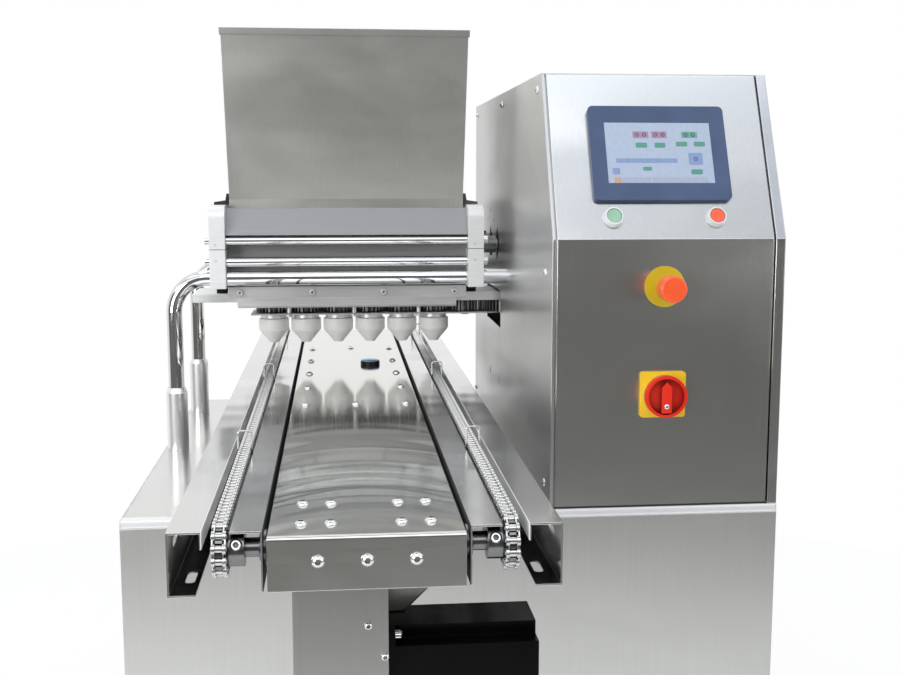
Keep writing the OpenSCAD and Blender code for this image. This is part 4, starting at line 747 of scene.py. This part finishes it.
def facing(places, outward):
    """Frames at places whose third axis points outward, with right-handed side axes."""
    z = np.asarray(outward, float) / np.linalg.norm(outward)
    x = np.cross((0.0, 0.0, 1.0) if abs(z[2]) < 0.9 else (0.0, 1.0, 0.0), z)
    x = x / np.linalg.norm(x)
    turn = np.stack([x, np.cross(z, x), z], -1)
    places = np.asarray(places, float).reshape(-1, 3)
    return np.concatenate([np.repeat(turn[None], len(places), 0), places[:, :, None]], -1)


UP, FRONT, LEFT, RIGHT = (0, 0, 1), (0, -1, 0), (-1, 0, 0), (1, 0, 0)
print("frames for two places:", facing([(0, 0, 0), (1, 0, 0)], UP).shape)

# %% [markdown]
# ## Screws with a hexagon socket
# The table, its front cover and the cabinet are held by low domed screws, and the motor by taller
# cap screws. A socket could be cut out of a dome with a Boolean, which leaves uneven faces. So a
# head is a set of rings: a turned outline, then the socket, whose rings are hexagons because their
# radius follows the distance to a flat side.

# %% Screw shapes
HEAD_SIDES, SKIRT = 24, 0.0004


def socket_head(outline, socket, depth):
    """Rings of a turned outline of (r, h), then of a hexagon socket of radius socket sunk by
    depth."""
    a = np.linspace(0, 2 * np.pi, HEAD_SIDES, endpoint=False)
    hexagon = np.cos(np.pi / 6) / np.cos((a % (np.pi / 3)) - np.pi / 6)
    r, h = np.asarray(outline, float).T
    sunk = np.outer([socket, socket * 0.97, 0.0], hexagon)
    radii = np.concatenate([np.outer(r, np.ones(HEAD_SIDES)), sunk])
    z = np.concatenate([h, [h[-1], h[-1] - depth, h[-1] - depth]])
    return ring_points(radii, z), ring_faces(len(z), HEAD_SIDES)


def button_screw(d, h):
    """A domed head of diameter d and height h: a short skirt, then a slice of a sphere."""
    r = d / 2
    dome_r = (r * r + h * h) / (2 * h)
    dome = r * np.linspace(1.0, 0.42, 7)
    heights = np.sqrt(dome_r ** 2 - dome ** 2) - dome_r + h + SKIRT
    return socket_head([(r, 0.0), *zip(dome, heights)], socket=0.25 * d, depth=0.62 * h)


def cap_screw(d, h):
    """A straight head of diameter d and height h with a chamfered rim."""
    r, rim = d / 2, 0.08 * d
    return socket_head([(r, 0.0), (r, h - rim), (r - rim, h)], socket=0.27 * d, depth=0.6 * h)


def put_screws(name, head, frames, body, paint="screw_steel"):
    """One piece made of a screw head at each frame, which rides a body."""
    put_mesh(name, *copies(*head, frames), finish[paint], body, "polished_steel")
    print(name + ":", len(frames))


# %% Screws of the table and its cover
SIDE_X, SIDE_YS = 0.080, (0.697, 0.851, 1.002, 1.154, 1.315)
MIDDLE_YS = (0.697, 1.330)
END_XS, END_YS = (-0.068, -0.037, 0.037, 0.068), (0.044, 0.120)
FACE_XS, FACE_DOWN = (-0.050, 0.0, 0.050), 0.026
spots = [(s * SIDE_X, y) for s in (-1, 1) for y in SIDE_YS]
spots += [(0.0, y) for y in MIDDLE_YS]
spots += [(x, y) for x in END_XS for y in END_YS]
top_spots = [(centre_x + x, front_y + y, table_z) for x, y in spots]
face_spots = [(centre_x + x, front_y, table_z - FACE_DOWN) for x in FACE_XS]
table_frames = np.concatenate([facing(top_spots, UP), facing(face_spots, FRONT)])
put_screws("table_screws", button_screw(d=0.014, h=0.0042), table_frames, "machine")

# %% Screws of the cabinet and the drive housing
WALL_SPOTS = [(0.656, 0.491), (1.042, 0.493), (1.419, 0.493),
              (0.570, 0.218), (0.566, -0.100), (1.423, -0.104)]
HOUSING_SPOTS = [(0.002, -0.127), (0.020, -0.163)]
wall_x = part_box("cabinet_left_wall")[0].x
cover_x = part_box("cabinet_right_cover")[1].x
edge = [(front_y + y, table_z + z) for y, z in WALL_SPOTS]
left = facing([(wall_x, y, z) for y, z in edge], LEFT)
right = facing([(cover_x, y, z) for y, z in edge], RIGHT)
cabinet_frames = np.concatenate([left, right])
put_screws("cabinet_screws", button_screw(d=0.013, h=0.0042), cabinet_frames, "machine")
housing_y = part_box("drive_housing")[0].y
housing_spots = [(centre_x + x, housing_y, table_z + z) for x, z in HOUSING_SPOTS]
housing_frames = facing(housing_spots, FRONT)
put_screws("housing_screws", button_screw(d=0.010, h=0.0034), housing_frames, "machine")

# %% [markdown]
# ## Screws that turn
# A set screw clamps each sprocket hub to the front shaft, and a small screw holds the grip of the
# main switch. They could be placed like the other screws, but would then stay behind when these
# parts turn. So each rides the body that it is screwed into and goes round with it.

# %% Screws of the shaft and the switch
HUB_R, HUB_SCREW_IN, HUB_TURN, HUB_SUNK = 0.019, 0.0231, math.radians(65), 0.0004
HUB_OUTLINE = [(0.0055, 0.0), (0.0055, 0.0004), (0.0046, 0.0012)]
GRIP_DOWN = 0.014


def middle_of(name):
    """The middle of a node's box."""
    low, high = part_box(name)
    return (low + high) / 2


shaft_low, shaft_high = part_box("front_shaft")
shaft_middle = np.array(middle_of("front_shaft"))
hub_out = np.array([0.0, -math.sin(HUB_TURN), math.cos(HUB_TURN)])
hub_reach = (shaft_high.x - shaft_low.x) / 2 - HUB_SCREW_IN
hub_top = shaft_middle + hub_out * (HUB_R - HUB_SUNK)
hub_spots = [hub_top + (s * hub_reach, 0, 0) for s in (-1, 1)]
hub_head = socket_head(HUB_OUTLINE, socket=0.0034, depth=0.004)
put_screws("hub_screws", hub_head, facing(hub_spots, hub_out), "front_shaft", "chain_steel")
switch = middle_of("switch_plate")
grip_spot = (switch.x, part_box("switch_handle")[0].y, switch.z - GRIP_DOWN)
grip_head = button_screw(d=0.0075, h=0.0016)
put_screws("grip_screw", grip_head, facing(grip_spot, FRONT), "switch_handle")

# %% [markdown]
# ## Dowel pins and bolt heads
# Small dark pins hold the halves of each side plate, and the motor's flange has bright bolt heads
# in its corner notches. A dark disc could stand for a pin, but a disc catches no light on its rim.
# Both are turned profiles, a pin sunk a little with a raised edge and a head with a chamfer.

# %% Dowel pins
PLATE_T, PIN_LEFT, PIN_RIGHT, PIN_ZS = 0.028, 0.011, 0.012, (-0.020, 0.008)
PIN = [(0.0, -0.4), (1.5, -0.4), (1.9, 0.3), (2.1, 0.3), (2.1, -2.0), (0.0, -2.0)]
plate_low, plate_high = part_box("side_plates_lower")
pin_xs = (plate_low.x + PIN_LEFT, plate_high.x - PLATE_T + PIN_RIGHT)
pins = [(x, plate_low.y, plate_high.z + z) for x in pin_xs for z in PIN_ZS]
points, faces = copies(*lathe(np.array(PIN) / 1000, count=24), facing(pins, FRONT))
put_mesh("plate_pins", points, faces, finish["gear_steel"], "machine", "gear_steel")
print("plate pins:", len(pins))

# %% Motor bolts
MOTOR_FACE, FLANGE, BOLT_Y, BOLT_Z = 0.024, 0.008, 0.043, 0.0485
motor = middle_of("drive_motor")
bolt_x = centre_x + MOTOR_FACE + FLANGE
bolts = [(bolt_x, motor.y + y * BOLT_Y, motor.z + z * BOLT_Z) for y in (-1, 1) for z in (-1, 1)]
put_screws("motor_bolts", cap_screw(d=0.0114, h=0.0074), facing(bolts, RIGHT), "machine")


# %% [markdown]
# ## Seams and a painted shadow
# The front sheet meets the folded walls in a narrow gap with a return of sheet behind it, and a
# black rubber strip along its foot on the deck paints the shadow gap there. A dark line in the
# finish could mark these, but it would look drawn from the side. All are strips that follow a line
# in the YZ plane: each point of the line gives four corners, and the ends close in a point.

# %% Strips behind the seams and under the front
def bent_strip(path, x0, x1, thick):
    """Rings of four corners along (y, z) points, from x0 to x1 and from the line to thick behind
    it."""
    path = np.asarray(path, float)
    step = np.gradient(path, axis=0)
    step = step / np.linalg.norm(step, axis=1, keepdims=True)
    inward = np.stack([step[:, 1], -step[:, 0]], -1) * thick
    corners = [(x0, path), (x1, path), (x1, path + inward), (x0, path + inward)]
    rings = np.stack([np.column_stack([np.full(len(path), x), line]) for x, line in corners], 1)
    ends = [np.repeat(rings[i].mean(0)[None], 4, 0) for i in (0, -1)]
    points = np.concatenate([ends[0][None], rings, ends[1][None]])
    return points, ring_faces(len(points), 4)


LEAN, SLANT_H, SHEET = 0.111, 0.244, 0.002
SEAM_BEHIND, SEAM_OUT, SEAM_HALF, SEAM_T, SEAM_END = 0.0008, 0.001, 0.004, 0.001, 0.004
SHADOW_STRIP, SHADOW_STRIP_T = [(-0.0004, -0.0004), (-0.0006, 0.0012), (-0.0003, 0.0026)], 0.002
sheet_low, sheet_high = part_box("cabinet_front_panel")
seam_y = sheet_low.y + SHEET + SEAM_BEHIND
line = [(seam_y, sheet_low.z + SEAM_END), (seam_y, sheet_high.z - SLANT_H),
        (seam_y + LEAN - SHEET, sheet_high.z - SEAM_END)]
# The return strips take darker steels than the panels, the right one darkest, so that the seams
# read as dark lines: painted shade in the gaps.
for name, x, paint in (("seam_left", sheet_low.x - SEAM_OUT, "drive_steel"),
                       ("seam_right", sheet_high.x + SEAM_OUT, "shaft_steel")):
    strip = bent_strip(line, x - SEAM_HALF, x + SEAM_HALF, SEAM_T)
    put_mesh(name, *strip, finish[paint], "machine", "panel_steel")
# Painted shadow: a black strip under the front sheet's foot on the deck.
foot = [(sheet_low.y + y, sheet_low.z + z) for y, z in SHADOW_STRIP]
strip = bent_strip(foot, sheet_low.x, sheet_high.x, SHADOW_STRIP_T)
put_mesh("front_shadow_strip", *strip, finish["foot_rubber"], "machine", "foot_rubber")
print("seam height:", round(line[-1][1] - line[0][1], 3))


# %% [markdown]
# ## Nozzles
# Each nozzle is a steel spindle with a gear and a bright collar, and a white plastic cup screwed
# under it. One solid could take three finishes by height, but their edges would run across its
# faces. So each node gives way to three turned pieces. The gear's radius swings between root and
# tip like a rounded trapezium, once per tooth.

# %% Nozzle shapes
TEETH, TOOTH_POINTS, TOOTH_EDGE = 25, 12, 0.0004


def gear_rings(root, tip, low, high, bore):
    """Rings of a spur gear: radius root to tip by a clipped cosine of the teeth times the angle."""
    a = np.linspace(0, 2 * np.pi, TEETH * TOOTH_POINTS, endpoint=False)
    rim = root + (tip - root) * np.clip(0.42 + 0.95 * np.cos(TEETH * a), 0.0, 1.0)
    inner, cut = np.full_like(a, bore), rim - TOOTH_EDGE
    radii = np.stack([inner, cut, rim, rim, cut, inner])
    z = np.array([low, low, low + TOOTH_EDGE, high - TOOTH_EDGE, high, high])
    return ring_points(radii, z), ring_faces(len(z), len(a))


def turned(profile):
    """A profile in millimetres whose loop is closed by repeating its first point, in metres."""
    return np.array(list(profile) + [profile[0]]) / 1000


print("points on a gear's rim:", TEETH * TOOTH_POINTS)

# %% Nozzles
PITCH_R, ROOT, TIP, TURNED_SIDES = 0.03125, 0.0030, 0.0024, 64
CUP = [(12, 47), (26.6, 47), (28.1, 46.6), (28.8, 45.6), (29, 44.2), (29, 26.4), (28.7, 25),
       (27.9, 23.4), (11.6, 3.8), (10.2, 1.4), (9.5, 0.4), (9, 0), (4.3, 0), (4, 0.4), (4, 6),
       (12, 28.5)]
COLLAR = [(12, 47), (24.2, 47), (25, 47.8), (25, 55.2), (24.2, 56), (19, 56), (19, 94.8),
          (12, 94.8)]
gear = gear_rings(PITCH_R - ROOT, PITCH_R + TIP, low=0.0603, high=0.0823, bore=0.0188)
shapes = {"cup": (lathe(turned(CUP), TURNED_SIDES), "white_plastic", "white_plastic"),
          "spindle": (lathe(turned(COLLAR), TURNED_SIDES), "collar_steel", "polished_steel"),
          "gear": (gear, "gear_steel", "gear_steel")}
for i in range(1, 7):
    node = f"nozzle_{i}"
    axis = middle_of(node)
    place = facing((axis.x, axis.y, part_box(node)[0].z), UP)
    for part, (grid, paint, slot) in shapes.items():
        piece = put_mesh(f"nozzle_{i}_{part}", *copies(*grid, place), finish[paint], node, slot)
        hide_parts(node)
print("nozzles:", i)

# %% [markdown]
# ## Tray sensor
# A round optical sensor looks up through the table. Its black housing is the solid. A flat blue
# disc would do from afar, but a lens shows by the highlight that it bends. So it is a shallow dome,
# a lathe profile that follows a quarter of an ellipse.

# %% Sensor lens
LENS_R, LENS_RISE, LENS_SUNK = 0.0181, 0.003, 0.001
lens_r = LENS_R * np.sqrt(np.linspace(1.0, 0.0, 13))
dome = np.stack([lens_r, LENS_RISE * np.sqrt(1 - (lens_r / LENS_R) ** 2)], -1)
lens = lathe(np.concatenate([[(0.0, -LENS_SUNK), (LENS_R, -LENS_SUNK)], dome]), count=48)
sensor = middle_of("tray_sensor")
lens_place = facing((sensor.x, sensor.y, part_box("tray_sensor")[1].z), UP)
put_mesh("sensor_lens", *copies(*lens, lens_place), finish["sensor_blue"], "machine",
         "black_plastic")
print("lens diameter:", 2 * LENS_R)


# %% [markdown]
# ## Screen
# The touch panel shows a plain control page of its own: value fields, toggles, a bar and a row of
# keys, without words. It could be a picture on the glass, but that needs a file and blurs close by.
# So each field is a thin rounded plate laid on the glass, its outline four quarter circles joined
# by straight sides.

# %% Rounded plates
PLATE_SIDES, CORNER_SHARE, CORNER_MOST = 24, 0.25, 1.6


def rounded_plates(fields, thick):
    """Plates in metres for rows of (u, v, width, height) in millimetres: the outline is each
    corner's quarter circle in turn."""
    u, v, w, h = np.asarray(fields, float).T[:, :, None]
    r = np.minimum(np.minimum(w, h) * CORNER_SHARE, CORNER_MOST)
    a = np.linspace(0, 2 * np.pi, PLATE_SIDES, endpoint=False) + np.pi / PLATE_SIDES
    x = u + np.sign(np.cos(a)) * (w / 2 - r) + r * np.cos(a)
    y = v + np.sign(np.sin(a)) * (h / 2 - r) + r * np.sin(a)
    mid_x, mid_y = x * 0 + u, y * 0 + v
    rings = [(mid_x, mid_y, 0.0), (x, y, 0.0), (x, y, thick), (mid_x, mid_y, thick)]
    points = [np.stack([px, py, np.full_like(px, pz)], -1) for px, py, pz in rings]
    starts = np.arange(len(fields)) * len(rings) * PLATE_SIDES
    faces = ring_faces(len(rings), PLATE_SIDES)[None] + starts[:, None, None]
    return np.stack(points, 1).reshape(-1, 3) / 1000, faces.reshape(-1, 4)


print("faces of one field:", len(rounded_plates([(0, 0, 10, 5)], 1.0)[1]))

# %% Screen fields
FIELD_T, PAGE_OUT, PAGE_DOWN = 0.25, 0.0005, 0.004
field_sets = {
    "screen_values": ("field_green", [(-26, 16, 17, 8), (2, 16, 16, 8), (35, 18, 17, 7.5),
                                      (62, 18, 17, 7.5), (54, -27, 17, 8), (-20, -22, 13, 6)]),
    "screen_toggles": ("field_rose", [(-26, 33, 24, 11), (2, 33, 23, 11)]),
    "screen_ready": ("field_teal", [(48, 33, 24, 10)]),
    "screen_bar": ("field_blue", [(-20, -9, 92, 7), (54, -6, 21, 19), (-67, -26, 11, 10)]),
    "screen_keys": ("field_grey", [(-38, -41, 44, 11), (28, -41, 84, 11)]),
    "screen_home": ("field_sand", [(-66, -41, 10, 10)]),
}
slope = math.atan2(LEAN, SLANT_H)
out = np.array([0.0, -math.cos(slope), math.sin(slope)])
up_slope = np.array([0.0, math.sin(slope), math.cos(slope)])
page = np.array(middle_of("hmi_screen")) + out * PAGE_OUT - up_slope * PAGE_DOWN
for name, (paint, fields) in field_sets.items():
    plates = copies(*rounded_plates(fields, FIELD_T), facing(page, out))
    put_mesh(name, *plates, finish[paint], "machine", "screen_glass")
print("screen pieces:", len(field_sets))

# %% Rings on the screen fields
PAIRS, PAIR_HALF, SINGLE = ((-26, 33), (2, 33), (48, 33)), 5.5, (54, -6)
RING = [(1.9, 0), (3.1, 0), (3.1, FIELD_T), (1.9, FIELD_T)]
knobs = np.array([(x + s * PAIR_HALF, y) for x, y in PAIRS for s in (-1, 1)] + [SINGLE]) / 1000
across, upward = np.outer(knobs[:, 0], RIGHT), np.outer(knobs[:, 1], np.cross(out, RIGHT))
knob_places = page + out * FIELD_T / 1000 + across + upward
rings = copies(*lathe(turned(RING), count=24), facing(knob_places, out))
put_mesh("screen_rings", *rings, finish["bezel_plastic"], "machine", "screen_glass")
print("screen rings:", len(knobs))
